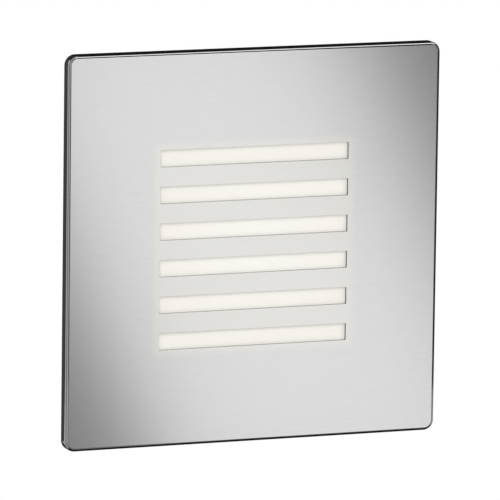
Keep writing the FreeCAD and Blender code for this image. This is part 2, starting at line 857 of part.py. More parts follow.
def rear_cover():
    """Cover of the driver bay, with the cable clamp's posts and an inner locating lip."""
    cover = square_plate(housing_side, housing_corner_radius, cover_front_y, cover_back_y)
    lip_side = housing_side - 2 * rear_seal_width - 2 * cover_lip_clearance
    lip = square_ring(lip_side, lip_side - 2 * cover_lip_thickness, housing_corner_radius / 2,
                      cover_front_y - cover_lip_depth, cover_front_y)
    column_face = cavity_side / 2 - corner_boss_side - cover_lip_clearance
    lip_zone = []
    for side_x, side_z in four_corners(1):
        x0, x1 = sorted((side_x * housing_side / 2, side_x * column_face))
        z0, z1 = sorted((side_z * housing_side / 2, side_z * column_face))
        lip_zone.append(block(x0, x1, cover_front_y - cover_lip_depth, cover_front_y, z0, z1))
    shapes = [cover, lip.cut(lip_zone)]
    for x in clamp_post_places():
        shapes.append(rod_y(clamp_post_radius, cover_back_y, clamp_bar_y, x, clamp_z))
    cover = joined(shapes)
    pilot = screw_radius + pilot_clearance
    posts = [(x, clamp_z) for x in clamp_post_places()]
    cover = drilled(cover, pilot, posts, cover_back_y, clamp_bar_y)
    cover = drilled(cover, screw_radius + screw_hole_clearance, four_corners(cover_screw_offset),
                    cover_front_y, cover_back_y)
    return drilled(cover, lead_grommet_radius, [(0.0, lead_grommet_z)], cover_front_y, cover_back_y)


def clamp_post_places():
    """X of the two clamp posts."""
    return -clamp_post_spacing / 2, clamp_post_spacing / 2


def rear_cover_screws():
    """Screws through the rear cover and its seal into the housing's corner columns."""
    return [screw(x, z, cover_back_y, 1, long_screw_length) for x, z in four_corners(cover_screw_offset)]


def cable_clamp():
    """Bar that presses the supply cable against the cover."""
    length = clamp_post_spacing + 2 * clamp_post_radius
    y1 = clamp_bar_y + clamp_bar_thickness
    bar = rounded_plate(length, clamp_bar_width, clamp_post_radius, clamp_bar_y, y1, z=clamp_z)
    places = [(x, clamp_z) for x in clamp_post_places()]
    return drilled(bar, screw_radius + screw_hole_clearance, places, clamp_bar_y, y1)


def cable_clamp_screws():
    """Screws of the cable clamp's bar."""
    seat = clamp_bar_y + clamp_bar_thickness
    length = clamp_bar_thickness + clamp_gap - pilot_spare_depth
    return [screw(x, clamp_z, seat, 1, length) for x in clamp_post_places()]


def lead_grommet():
    """Rubber grommet in the rear cover, with a hole for each supply lead."""
    z = lead_grommet_z
    lip = lead_grommet_radius + lead_grommet_lip
    y0, y1 = cover_front_y - lead_grommet_lip_thickness, cover_back_y + lead_grommet_lip_thickness
    body = joined([
        rod_y(lead_grommet_radius - grommet_to_hole, y0, y1, 0.0, z),
        rod_y(lip, y0, cover_front_y, 0.0, z),
        rod_y(lip, cover_back_y, y1, 0.0, z),
    ])
    places = [(x, z) for x in lead_pair_x(0.0)]
    return drilled(body, lead_diameter / 2 + lead_to_hole, places, y0, y1)


# ================================================================ terminal block
def pole_places():
    """X of the terminal's poles."""
    return -pole_pitch / 2, pole_pitch / 2


def terminal_block():
    """Two-pole terminal block on the rear cover, bored for its barrels and screws."""
    z0, z1 = terminal_z - terminal_length / 2, terminal_z + terminal_length / 2
    half = terminal_width / 2
    body = block(-half, half, cover_back_y, terminal_back_y, z0, z1)
    long_edges = [e for e in edges_in_plane(body, terminal_back_y)
                  if abs(e.Vertexes[0].Z - e.Vertexes[1].Z) > 1e-6]
    body = body.makeChamfer(terminal_edge_chamfer, long_edges)
    waist = block(-terminal_edge_chamfer, terminal_edge_chamfer, terminal_back_y - terminal_height / 2,
                  terminal_back_y, z0, z1)
    cuts = [waist]
    for x in pole_places():
        cuts.append(rod(barrel_radius + barrel_clearance, Vector(x, barrel_y, z0), Vector(x, barrel_y, z1)))
        for z in terminal_screw_places():
            cuts.append(rod_y(terminal_driver_radius, barrel_y, terminal_back_y, x, z))
    return body.cut(cuts)


def terminal_screw_places():
    """Z of each pole's two screws: the supply side below, the driver side above."""
    return terminal_z - terminal_screw_offset, terminal_z + terminal_screw_offset


def terminal_barrels():
    """Brass barrels: a wire hole from each end, a web between, and two screw holes."""
    z0, z1 = terminal_z - barrel_length / 2, terminal_z + barrel_length / 2
    stops = (terminal_z - barrel_stop / 2, terminal_z + barrel_stop / 2)
    barrels = []
    for x in pole_places():
        barrel = rod(barrel_radius, Vector(x, barrel_y, z0), Vector(x, barrel_y, z1))
        holes = []
        for start_z, end_z in ((z0, stops[0]), (stops[1], z1)):
            start, end = Vector(x, barrel_y, start_z), Vector(x, barrel_y, end_z)
            holes.append(rod(barrel_bore_radius, start, end))
        for z in terminal_screw_places():
            hole_radius = terminal_screw_radius + terminal_screw_clearance
            holes.append(rod_y(hole_radius, barrel_y, barrel_y + barrel_radius, x, z))
        barrels.append(barrel.cut(holes))
    return barrels


def terminal_screws():
    """Headless screws: loosened on the supply side, tight on the driver's wires."""
    supply_z, driver_z = terminal_screw_places()
    tops = {
        supply_z: terminal_back_y - terminal_screw_recess,
        driver_z: terminal_back_y - 2 * terminal_screw_recess,
    }
    tips = {
        supply_z: barrel_y + barrel_bore_radius + terminal_screw_clearance,
        driver_z: barrel_y + lead_diameter / 2,
    }
    screws = []
    for x in pole_places():
        for z, top in tops.items():
            shank = rod_y(terminal_screw_radius, tips[z], top, x, z)
            slot = block(x - terminal_screw_radius, x + terminal_screw_radius, top - 0.8, top,
                         z - 0.3, z + 0.3)
            screws.append(shank.cut(slot))
    return screws


# ================================================================ leads inside the lamp
def supply_lead(side):
    """From the terminal's upper hole, through the cover's grommet, to the driver's input."""
    pole_x = side * pole_pitch / 2
    hole_x = side * lead_spacing / 2
    pad_x = side * supply_pad_spacing / 2
    return [
        (pole_x, barrel_y, terminal_z + barrel_stop / 2),
        (pole_x, barrel_y, terminal_z + terminal_length / 2 + 4.0),
        (hole_x, barrel_y, lead_grommet_z),
        (hole_x, driver_back_y + 10.0, lead_grommet_z),
        (pad_x, driver_back_y + 7.0, supply_pad_z),
        (pad_x, driver_back_y, supply_pad_z),
    ]


def led_lead(side):
    """From the driver's output, round its edge and through the partition to the connector."""
    hole_x, hole_z = lead_hole_place()
    x = hole_x + side * lead_spacing / 2
    pad_x = led_pad_x + side * lead_spacing / 2
    connector_y = board_front_y - connector_height / 2
    return [
        (pad_x, driver_back_y, led_pad_z),
        (pad_x, driver_back_y + 11.0, led_pad_z),
        (x, driver_back_y + 11.0, hole_z),
        (x, connector_y, hole_z),
        (x, connector_y, -connector_length / 2 + 2.0),
    ]


# ================================================================ spring clips
def clip_rest_turn():
    """Angle in degrees that the arm stands out at rest, its tip just clear of the box."""
    reach_x = clip_arm_offset + clip_sheet / 2
    radius = math.hypot(clip_arm_length, reach_x)
    room = box_wall_inside_at_tip() - clip_tip_to_box - clip_pivot_x
    return math.degrees(math.asin(room / radius) - math.atan2(reach_x, clip_arm_length))


def box_wall_inside_at_tip():
    """Half the box's inside width where the clip's tip bears."""
    tip_y = clip_pivot_y + clip_arm_length
    return box_inside / 2 - (box_step if tip_y > box_step_y else 0.0)


def clip_right():
    """Pressed steel clip: hinge tabs, a windowed arm and a rolled-in tip."""
    half = clip_width / 2
    x0, x1 = clip_arm_offset - clip_sheet / 2, clip_arm_offset + clip_sheet / 2
    arm = block(x0, x1, -clip_arm_root, clip_arm_length, -half, half)
    window_middle = clip_arm_length * 0.6
    window = block(x0, x1, window_middle - clip_window_length / 2, window_middle + clip_window_length / 2,
                   -clip_window_width / 2, clip_window_width / 2)
    hook_x = x1 - clip_hook_radius
    hook_start = Vector(hook_x, clip_arm_length, -half)
    up = Vector(0, 0, 1)
    hook = Part.makeCylinder(clip_hook_radius, clip_width, hook_start, up, clip_hook_turn)
    inner_radius = clip_hook_radius - clip_sheet
    hook = hook.cut(Part.makeCylinder(inner_radius, clip_width, hook_start, up, clip_hook_turn))
    shapes = [arm.cut(window), hook]
    for side in (-1, 1):
        z0, z1 = sorted((side * half, side * (half - clip_sheet)))
        disc = rod(clip_tab_radius, Vector(0, 0, z0), Vector(0, 0, z1))
        web = block(0, x1, -clip_arm_root, clip_tab_radius, z0, z1)
        shapes += [disc, web]
    bore = rod(pin_radius + pin_running_clearance, Vector(0, 0, -half), Vector(0, 0, half))
    clip = joined(shapes).cut(bore)
    clip.rotate(Vector(0, 0, 0), Vector(0, 0, 1), -clip_rest_turn())
    clip.translate(Vector(clip_pivot_x, clip_pivot_y, 0))
    return clip


def clip_spring_right():
    """Torsion spring round the hinge pin. One leg bears on the housing, one on the arm."""
    radius = spring_coil_radius
    wire = spring_wire / 2
    lean = leg_lean()
    start_turn = 180.0 + lean
    turns = spring_turns - (start_turn + clip_rest_turn()) / 360.0
    height = spring_pitch * turns
    coil = Part.makeHelix(spring_pitch, height, radius)
    coil.rotate(Vector(0, 0, 0), Vector(0, 0, 1), start_turn)
    coil.translate(Vector(0, 0, -height / 2))
    climb = spring_pitch / (2 * math.pi * radius)

    def leg(turn, z, direction):
        angle = math.radians(turn)
        foot = Vector(radius * math.cos(angle), radius * math.sin(angle), z)
        heading = Vector(-math.sin(angle), math.cos(angle), climb).normalize()
        return foot, foot + heading * (direction * spring_leg_length)

    housing_foot, housing_tip = leg(start_turn, -height / 2, -1)
    arm_foot, arm_tip = leg(-clip_rest_turn(), height / 2, 1)
    housing_leg, arm_leg = Part.makeLine(housing_tip, housing_foot), Part.makeLine(arm_foot, arm_tip)
    path = Part.Wire([housing_leg] + coil.Edges + [arm_leg])
    heading = housing_foot - housing_tip
    profile = Part.Wire([Part.makeCircle(wire, housing_tip, heading)])
    spring = path.makePipeShell([profile], True, True)
    spring.translate(Vector(clip_pivot_x, clip_pivot_y, 0))
    return spring


def leg_lean():
    """Angle in degrees at which the spring's housing leg just meets the housing's side."""
    reach = clip_pivot_out - spring_wire / 2 - spring_leg_to_wall
    length = math.hypot(spring_leg_length, spring_coil_radius)
    return math.degrees(math.asin(reach / length) - math.atan2(spring_coil_radius, spring_leg_length))


def ear_inside_z():
    """Inner face of the bracket's ears, above and below the clip's tabs."""
    return clip_width / 2 + ear_to_tab


def rivet_z():
    """Height of the bracket's upper rivet. The lower one is its mirror image."""
    return ear_inside_z() + bracket_sheet + rivet_from_ear


def clip_brackets():
    """Bent sheet brackets on the housing's sides: a base, and two ears for the hinge pin."""
    side_x = housing_side / 2
    half = rivet_z() + ear_radius
    base_back, base_front = clip_pivot_y - ear_radius, clip_pivot_y + ear_radius
    shapes = [block(side_x, side_x + bracket_sheet, base_back, base_front, -half, half)]
    for side in (-1, 1):
        z0, z1 = sorted((side * ear_inside_z(), side * (ear_inside_z() + bracket_sheet)))
        start, end = Vector(clip_pivot_x, clip_pivot_y, z0), Vector(clip_pivot_x, clip_pivot_y, z1)
        shapes.append(block(side_x, clip_pivot_x, base_back, base_front, z0, z1))
        shapes.append(rod(ear_radius, start, end))
    reach = Vector(0, 0, ear_inside_z() + bracket_sheet)
    pivot = Vector(clip_pivot_x, clip_pivot_y, 0)
    bracket = joined(shapes).cut(rod(pin_radius + pin_seat_clearance, pivot - reach, pivot + reach))
    right = bracket.cut(rivet_shanks(rivet_clearance))
    return [right, mirrored(right)]


def rivet_shanks(clearance):
    """Shanks of the brackets' rivets, through the bracket and the housing's wall."""
    start_x, end_x = housing_side / 2 - housing_wall, housing_side / 2 + bracket_sheet
    right = []
    for z in (-rivet_z(), rivet_z()):
        start, end = Vector(start_x, clip_pivot_y, z), Vector(end_x, clip_pivot_y, z)
        right.append(rod(rivet_radius + clearance, start, end))
    return right + [mirrored(shank) for shank in right]


def clip_rivets():
    """Rivets that hold the clip brackets, with a head at each end."""
    rivets = []
    for shank in rivet_shanks(0.0):
        box = shank.BoundBox
        middle_y, middle_z = box.Center.y, box.Center.z
        heads = [
            rod(rivet_head_radius, Vector(box.XMin - rivet_head_height, middle_y, middle_z),
                Vector(box.XMin, middle_y, middle_z)),
            rod(rivet_head_radius, Vector(box.XMax, middle_y, middle_z),
                Vector(box.XMax + rivet_head_height, middle_y, middle_z)),
        ]
        rivets.append(joined([shank] + heads))
    return rivets


def clip_pins():
    """Headed hinge pins of both clips."""
    reach = ear_inside_z() + bracket_sheet
    pivot = Vector(clip_pivot_x, clip_pivot_y, 0)
    pin = rod(pin_radius, pivot - Vector(0, 0, reach), pivot + Vector(0, 0, reach))
    heads = []
    for side in (-1, 1):
        start = Vector(clip_pivot_x, clip_pivot_y, side * reach)
        heads.append(rod(pin_head_radius, start, start + Vector(0, 0, side * pin_head_height)))
    pin = joined([pin] + heads)
    return [pin, mirrored(pin)]


# ================================================================ all pieces
def pieces():
    """Every piece by name. A list holds separate solids of one kind."""
    right_clip = clip_right()
    right_spring = clip_spring_right()
    return {
        "recess_box": recess_box(),
        "cable_grommet": cable_grommet(),
        "blanking_grommet": blanking_grommet(),
        "front_plate": front_plate(),
        "plate_studs": plate_studs(),
        "stud_washers": stud_washers(),
        "stud_nuts": stud_nuts(),
        "wall_gasket": wall_gasket(),
        "inner_housing": inner_housing(),
        "diffuser": diffuser(),
        "diffuser_seal": diffuser_seal(),
        "reflector": reflector(),
        "heat_spreader": heat_spreader(),
        "led_board": led_board(),
        "led_packages": led_packages(),
        "led_phosphors": led_phosphors(),
        "board_connector": board_connector(),
        "board_screws": board_screws(),
        "driver_board": driver_board(),
        "driver_spacers": driver_spacers(),
        "driver_screws": driver_screws(),
        "transformer_core": transformer_core(),
        "transformer_winding": transformer_winding(),
        "smoothing_capacitor": smoothing_capacitor(),
        "film_capacitor": film_capacitor(),
        "driver_choke": driver_choke(),
        "varistor": varistor(),
        "rectifier": rectifier(),
        "rear_seal": rear_seal(),
        "rear_cover": rear_cover(),
        "rear_cover_screws": rear_cover_screws(),
        "cable_clamp": cable_clamp(),
        "cable_clamp_screws": cable_clamp_screws(),
        "lead_grommet": lead_grommet(),
        "terminal_block": terminal_block(),
        "terminal_barrels": terminal_barrels(),
        "terminal_screws": terminal_screws(),
        "supply_lead_brown": insulated_lead("supply_lead_brown", supply_lead(-1)),
        "supply_lead_blue": insulated_lead("supply_lead_blue", supply_lead(1)),
        "led_lead_red": insulated_lead("led_lead_red", led_lead(-1)),
        "led_lead_black": insulated_lead("led_lead_black", led_lead(1)),
        "clip_brackets": clip_brackets(),
        "clip_rivets": clip_rivets(),
        "clip_pins": clip_pins(),
        "clip_spring_right": right_spring,
        "clip_spring_left": mirrored(right_spring),
        "clip_right": right_clip,
        "clip_left": mirrored(right_clip),
    }


def write_parts():
    """Writes each piece to parts/NAME.step."""
    os.makedirs("parts", exist_ok=True)
    for name, shape in pieces().items():
        solids = shape if isinstance(shape, list) else [shape]
        whole = Part.makeCompound(solids) if len(solids) > 1 else solids[0]
        whole.exportStep(os.path.join("parts", name + ".step"))


write_parts()
print(f"clip stands out {clip_rest_turn():.2f} degrees at rest, pivot at x {clip_pivot_x:.2f}")
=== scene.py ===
"""Looks of a recessed step light: a brushed stainless pan with six lit slots, its lamp unit and wall box.

Everything is in metres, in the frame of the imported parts: the wall's surface is Y = 0, the room is on the
-Y side, +X runs to the right as seen from the room, and +Z is up.
"""

import json
import logging
import math
from dataclasses import dataclass
from enum import Enum
from typing import Iterable, Sequence

import bmesh
import bpy
from mathutils import Matrix, Vector


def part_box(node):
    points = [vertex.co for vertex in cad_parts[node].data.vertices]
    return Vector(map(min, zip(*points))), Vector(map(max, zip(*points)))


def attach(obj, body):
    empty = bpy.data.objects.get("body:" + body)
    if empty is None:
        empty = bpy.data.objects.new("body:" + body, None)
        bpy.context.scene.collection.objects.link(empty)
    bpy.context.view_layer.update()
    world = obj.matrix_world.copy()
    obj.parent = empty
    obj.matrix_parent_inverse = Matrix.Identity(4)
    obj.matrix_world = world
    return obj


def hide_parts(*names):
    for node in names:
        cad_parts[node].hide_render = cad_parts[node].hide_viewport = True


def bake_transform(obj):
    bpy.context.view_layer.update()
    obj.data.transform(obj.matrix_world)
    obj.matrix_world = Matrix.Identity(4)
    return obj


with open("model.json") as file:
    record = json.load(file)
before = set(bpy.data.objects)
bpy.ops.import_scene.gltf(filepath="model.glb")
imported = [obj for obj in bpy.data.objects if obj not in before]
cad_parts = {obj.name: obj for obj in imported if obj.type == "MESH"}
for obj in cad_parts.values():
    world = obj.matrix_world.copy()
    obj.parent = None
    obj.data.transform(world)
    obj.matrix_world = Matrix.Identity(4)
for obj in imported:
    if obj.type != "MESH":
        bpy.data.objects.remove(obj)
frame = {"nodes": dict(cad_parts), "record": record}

MM = 0.001  # a millimetre, in metres
CUT_EDGE = "cut_edge"  # attribute of the pan: 1 on cut edges
ROLLED = "rolled"  # attribute of the pan: 1 on bends
WHITE = (1.0, 1.0, 1.0, 1.0)
NOISE_RANGE = (0.3, 0.7)  # where nearly all of a noise texture lies
SMEAR_SIZE = 0.6  # size of the gloss's patches, as a share of the colour's
GRAIN_TILE = 100 * MM  # length of steel that one turn of the grain's UV map takes
EDGE_STEPS = 3  # strips across a broken edge
WALL_RINGS = (EDGE_STEPS + 1, EDGE_STEPS + 2)  # the rings of a slot that bound its cut wall
SQUARE = ((-1, -1), (1, -1), (1, 1), (-1, 1))
WELD = 0.002 * MM  # points nearer than this are one
FLAT = math.radians(0.4)  # faces that turn less than this are one flat face
BARELY_ROUND = math.radians(0.5)  # a face that turns more than this towards its neighbour is round
CREASE = math.radians(38)  # edges that turn less than this are shaded smooth
log = logging.getLogger("step_light")

Colour = tuple[float, float, float]
Ring = list[bmesh.types.BMVert]


# ---------------------------------------------------------------- node graphs
class NodeGraph:
    """A node tree with short ways to add nodes and join their sockets."""

    def __init__(self, tree: bpy.types.NodeTree) -> None:
        """Args:
            tree: the tree that the nodes go into.
        """
        self.tree = tree

    def link(self, source: bpy.types.NodeSocket, target: bpy.types.NodeSocket) -> None:
        """Joins an output to an input."""
        self.tree.links.new(source, target)

    def feed(self, target: bpy.types.NodeSocket, value: object) -> None:
        """Joins an input to a socket, or sets it to a plain value."""
        if isinstance(value, bpy.types.NodeSocket):
            self.link(value, target)
        else:
            target.default_value = value

    def add(self, kind: str, values: dict | None = None, **properties: object) -> bpy.types.Node:
        """Adds a node.

        Args:
            kind: the node's type name.
            values: what each input gets, a socket or a plain value, by the input's name or number.
            properties: settings of the node itself.

        Returns:
            The new node.
        """
        node = self.tree.nodes.new(kind)
        for name, value in properties.items():
            setattr(node, name, value)
        for socket, value in (values or {}).items():
            self.feed(node.inputs[socket], value)
        return node

    def math(self, operation: str, first: object, second: object = 0.0) -> bpy.types.NodeSocket:
        """Adds a Math node for two sockets or numbers and returns its output."""
        return self.add("ShaderNodeMath", {0: first, 1: second}, operation=operation).outputs[0]

    def remap(self, value: bpy.types.NodeSocket, source: Sequence[float], target: Sequence[float],
              interpolation: str = "LINEAR") -> bpy.types.NodeSocket:
        """Maps one range onto another.

        Args:
            value: the socket to map.
            source: the range that it comes in.
            target: the range that it leaves in.
            interpolation: the Map Range node's kind of curve.

        Returns:
            The mapped value.
        """
        values = dict(enumerate((value, *source, *target)))
        return self.add("ShaderNodeMapRange", values, interpolation_type=interpolation).outputs[0]

    def mix(self, factor: bpy.types.NodeSocket, first: object, second: object) -> bpy.types.NodeSocket:
        """Mixes two colours or two numbers.

        Args:
            factor: how much of the second there is.
            first: a socket, a colour or a number.
            second: a colour or a number, which also settles what is mixed.

        Returns:
            The mixed value.
        """
        kind, start, result = ("RGBA", 6, 2) if isinstance(second, tuple) else ("FLOAT", 2, 0)
        node = self.add("ShaderNodeMix", {0: factor}, data_type=kind)
        for socket, value in enumerate((first, second), start):
            self.feed(node.inputs[socket], (*value, 1.0) if isinstance(value, tuple) else value)
        return node.outputs[result]

    def mix_shaders(self, factor: bpy.types.NodeSocket, first: bpy.types.NodeSocket,
                    second: bpy.types.NodeSocket) -> bpy.types.NodeSocket:
        """Mixes two shaders by a factor socket and returns the result."""
        return self.add("ShaderNodeMixShader", {0: factor, 1: first, 2: second}).outputs[0]

    def own_place(self) -> bpy.types.NodeSocket:
        """Returns the piece's own coordinates."""
        return self.add("ShaderNodeTexCoord").outputs["Object"]

    def noise(self, place: bpy.types.NodeSocket, size: float, detail: float,
              roughness: float = 0.5) -> bpy.types.NodeSocket:
        """Adds a noise texture.

        Args:
            place: coordinates that it follows.
            size: size of its largest features, in metres.
            detail: octaves of finer detail.
            roughness: strength of the finer detail.

        Returns:
            The noise, about 0.5 on average.
        """
        values = {"Vector": place, "Scale": 1.0 / size, "Detail": detail, "Roughness": roughness}
        return self.add("ShaderNodeTexNoise", values).outputs[0]

    def plainly_seen(self) -> bpy.types.NodeSocket:
        """Returns 1 for what the camera, gloss and glass see, and 0 for the light on other things."""
        path = self.add("ShaderNodeLightPath")
        seen = self.math("MAXIMUM", path.outputs["Is Camera Ray"], path.outputs["Is Glossy Ray"])
        return self.math("MAXIMUM", seen, path.outputs["Is Transmission Ray"])


def new_material(name: str) -> tuple[bpy.types.Material, NodeGraph]:
    """Makes a material with Blender's first nodes in it, and returns it with its graph."""
    material = bpy.data.materials.new(name)
    material.use_nodes = True
    return material, NodeGraph(material.node_tree)


# ---------------------------------------------------------------- finishes
class Relief(Enum):
    """Kinds of fine surface relief."""

    SPARK = "spark-eroded mould texture"
    SATIN = "fine satin mould texture"
    CELLS = "closed foam cells"
    DRAWN = "brushed or drawn lines"
    CAST = "sintered or cast grain"


def shade(colour: Colour, factor: float) -> Colour:
    """A colour made lighter or darker by a factor."""
    return tuple(min(1.0, channel * factor) for channel in colour)


@dataclass(frozen=True)
class Finish:
    """A surface finish: base colour with slight mottling, uneven gloss and a fine relief.

    Attributes:
        name: the finish's slot in the record.
        colour: base colour, linear.
        roughness: mean roughness.
        metallic: 1 for bare metal.
        mottle: how much the colour varies, as a share.
        mottle_size: size of the colour's patches.
        gloss_spread: how much the roughness varies.
        relief: kind of the fine relief.
        relief_size: size of the relief's grain.
        relief_depth: height of the relief.
        stretch: how much the patterns are squeezed along each axis.
    """

    name: str
    colour: Colour
    roughness: float = 0.5
    metallic: float = 0.0
    mottle: float = 0.06
    mottle_size: float = 12 * MM
    gloss_spread: float = 0.06
    relief: Relief = Relief.SATIN
    relief_size: float = 0.35 * MM
    relief_depth: float = 0.01 * MM
    stretch: tuple[float, float, float] = (1.0, 1.0, 1.0)

    def material(self) -> bpy.types.Material:
        """Builds the material with its whole node tree and returns it."""
        material, graph = new_material(self.name)
        material.diffuse_color = (*self.colour, 1.0)
        shader = graph.tree.nodes["Principled BSDF"]
        mapping = graph.add("ShaderNodeMapping", {"Scale": self.stretch, "Vector": graph.own_place()})
        place = mapping.outputs[0]
        self.paint(graph, shader, place)
        self.emboss(graph, shader, place)
        self.dress(graph, shader)
        return material

    def paint(self, graph: NodeGraph, shader: bpy.types.Node, place: bpy.types.NodeSocket) -> None:
        """Sets colour, metal and gloss on the shader."""
        shader.inputs["Metallic"].default_value = self.metallic
        patches = graph.remap(graph.noise(place, self.mottle_size, 5.0, 0.6), NOISE_RANGE, (0.0, 1.0))
        low, high = shade(self.colour, 1 - self.mottle), shade(self.colour, 1 + self.mottle)
        graph.link(graph.mix(patches, low, high), shader.inputs["Base Color"])
        smears = graph.noise(place, self.mottle_size * SMEAR_SIZE, 3.0)
        spread = (self.roughness - self.gloss_spread, self.roughness + self.gloss_spread)
        graph.link(graph.remap(smears, NOISE_RANGE, spread), shader.inputs["Roughness"])

    def emboss(self, graph: NodeGraph, shader: bpy.types.Node, place: bpy.types.NodeSocket) -> None:
        """Adds the fine relief to the shader's normal."""
        if self.relief is Relief.CELLS:
            cells = graph.add("ShaderNodeTexVoronoi", {"Scale": 1.0 / self.relief_size, "Vector": place})
            height = cells.outputs["Distance"]
        else:
            detail, roughness = (2.0, 0.7) if self.relief is Relief.SPARK else (4.0, 0.5)
            height = graph.noise(place, self.relief_size, detail, roughness)
        bump = graph.add("ShaderNodeBump", {"Strength": 1.0, "Distance": self.relief_depth, "Height": height})
        graph.link(bump.outputs[0], shader.inputs["Normal"])

    def dress(self, graph: NodeGraph, shader: bpy.types.Node) -> None:
        """Adds what only some finishes have; the plain finish has nothing more."""


@dataclass(frozen=True)
class BrushedPan(Finish):
    """Fine horizontal brushing on the stainless pan, with a painted warm glow on its webs round the slots.

    Attributes:
        anisotropy: how much the brushing spreads highlights across itself.
        grain_turn: direction of that spread, in turns from the UV map's own.
        painted_glow: painted glow round the lit slots, as emission in the pan's own material.
        painted_glow_colour: its colour.
        painted_glow_half: half of the lit block's width and height, inside which the painted glow is full.
        painted_glow_fade: distance over which it fades outside the block.
        cut_colour: near-black colour that the slots' cut walls are darkened to.
        rolled_roughness: roughness of the bends and the rim, which the press polished.
    """

    anisotropy: float = 0.35
    grain_turn: float = 0.25
    painted_glow: float = 0.043
    painted_glow_colour: Colour = (1.0, 0.84, 0.20)
    painted_glow_half: float = 35.5 * MM
    painted_glow_fade: float = 4 * MM
    cut_colour: Colour = (0.10, 0.10, 0.10)
    rolled_roughness: float = 0.05

    def dress(self, graph: NodeGraph, shader: bpy.types.Node) -> None:
        """Adds the darkened cut edges, the bends' gloss, the brushing's direction and the painted glow round
        the slots.
        """
        colour, gloss = shader.inputs["Base Color"], shader.inputs["Roughness"]
        cut = graph.add("ShaderNodeAttribute", attribute_name=CUT_EDGE).outputs["Fac"]
        graph.link(graph.mix(cut, colour.links[0].from_socket, self.cut_colour), colour)
        rolled = graph.add("ShaderNodeAttribute", attribute_name=ROLLED).outputs["Fac"]
        graph.link(graph.mix(rolled, gloss.links[0].from_socket, self.rolled_roughness), gloss)
        shader.inputs["Anisotropic"].default_value = self.anisotropy
        shader.inputs["Anisotropic Rotation"].default_value = self.grain_turn
        tangent = graph.add("ShaderNodeTangent", direction_type="UV_MAP", uv_map="Grain")
        graph.link(tangent.outputs[0], shader.inputs["Tangent"])
        axes = graph.add("ShaderNodeSeparateXYZ", {0: graph.own_place()})
        # Painted glow: warm emission on the pan's face round the slot block, fading outwards, and none on the
        # cut edges.
        reach = (self.painted_glow_half, self.painted_glow_half + self.painted_glow_fade)
        fades = [graph.remap(graph.math("ABSOLUTE", axes.outputs[axis]), reach, (1.0, 0.0), "SMOOTHERSTEP")
                 for axis in ("X", "Z")]
        painted_glow = graph.math("MULTIPLY", graph.math("MULTIPLY", *fades), self.painted_glow)
        painted_glow = graph.math("MULTIPLY", painted_glow, graph.math("SUBTRACT", 1.0, cut))
        shader.inputs["Emission Color"].default_value = (*self.painted_glow_colour, 1.0)
        graph.link(painted_glow, shader.inputs["Emission Strength"])


@dataclass(frozen=True)
class LitOpal(Finish):
    """Opal panel lit from behind: brightest in the middle, a little dimmer and warmer at its edges.

    Attributes:
        glow: emission at the middle.
        edge_glow: emission at the edge.
        warm: colour of the light at the middle.
        edge_warm: its colour at the edge.
        reach: distance from the middle to where the edge's level is met.
    """

    glow: float = 0.42
    edge_glow: float = 0.38
    warm: Colour = (1.0, 0.975, 0.93)
    edge_warm: Colour = (1.0, 0.97, 0.90)
    reach: float = 48 * MM

    def dress(self, graph: NodeGraph, shader: bpy.types.Node) -> None:
        """Adds the light from behind."""
        length = graph.add("ShaderNodeVectorMath", {0: graph.own_place()}, operation="LENGTH")
        outwards = graph.remap(length.outputs["Value"], (0.0, self.reach), (0.0, 1.0), "SMOOTHSTEP")
        graph.link(graph.mix(outwards, self.warm, self.edge_warm), shader.inputs["Emission Color"])
        glow = graph.remap(outwards, (0.0, 1.0), (self.glow, self.edge_glow))
        graph.link(glow, shader.inputs["Emission Strength"])


def insulation(name: str, colour: Colour, mottle: float = 0.08) -> Finish:
    """The soft plastic round a lead's wire."""
    return Finish(name, colour, 0.45, 0.0, mottle, 3 * MM, 0.06, Relief.SATIN, 0.3 * MM, 0.006 * MM)


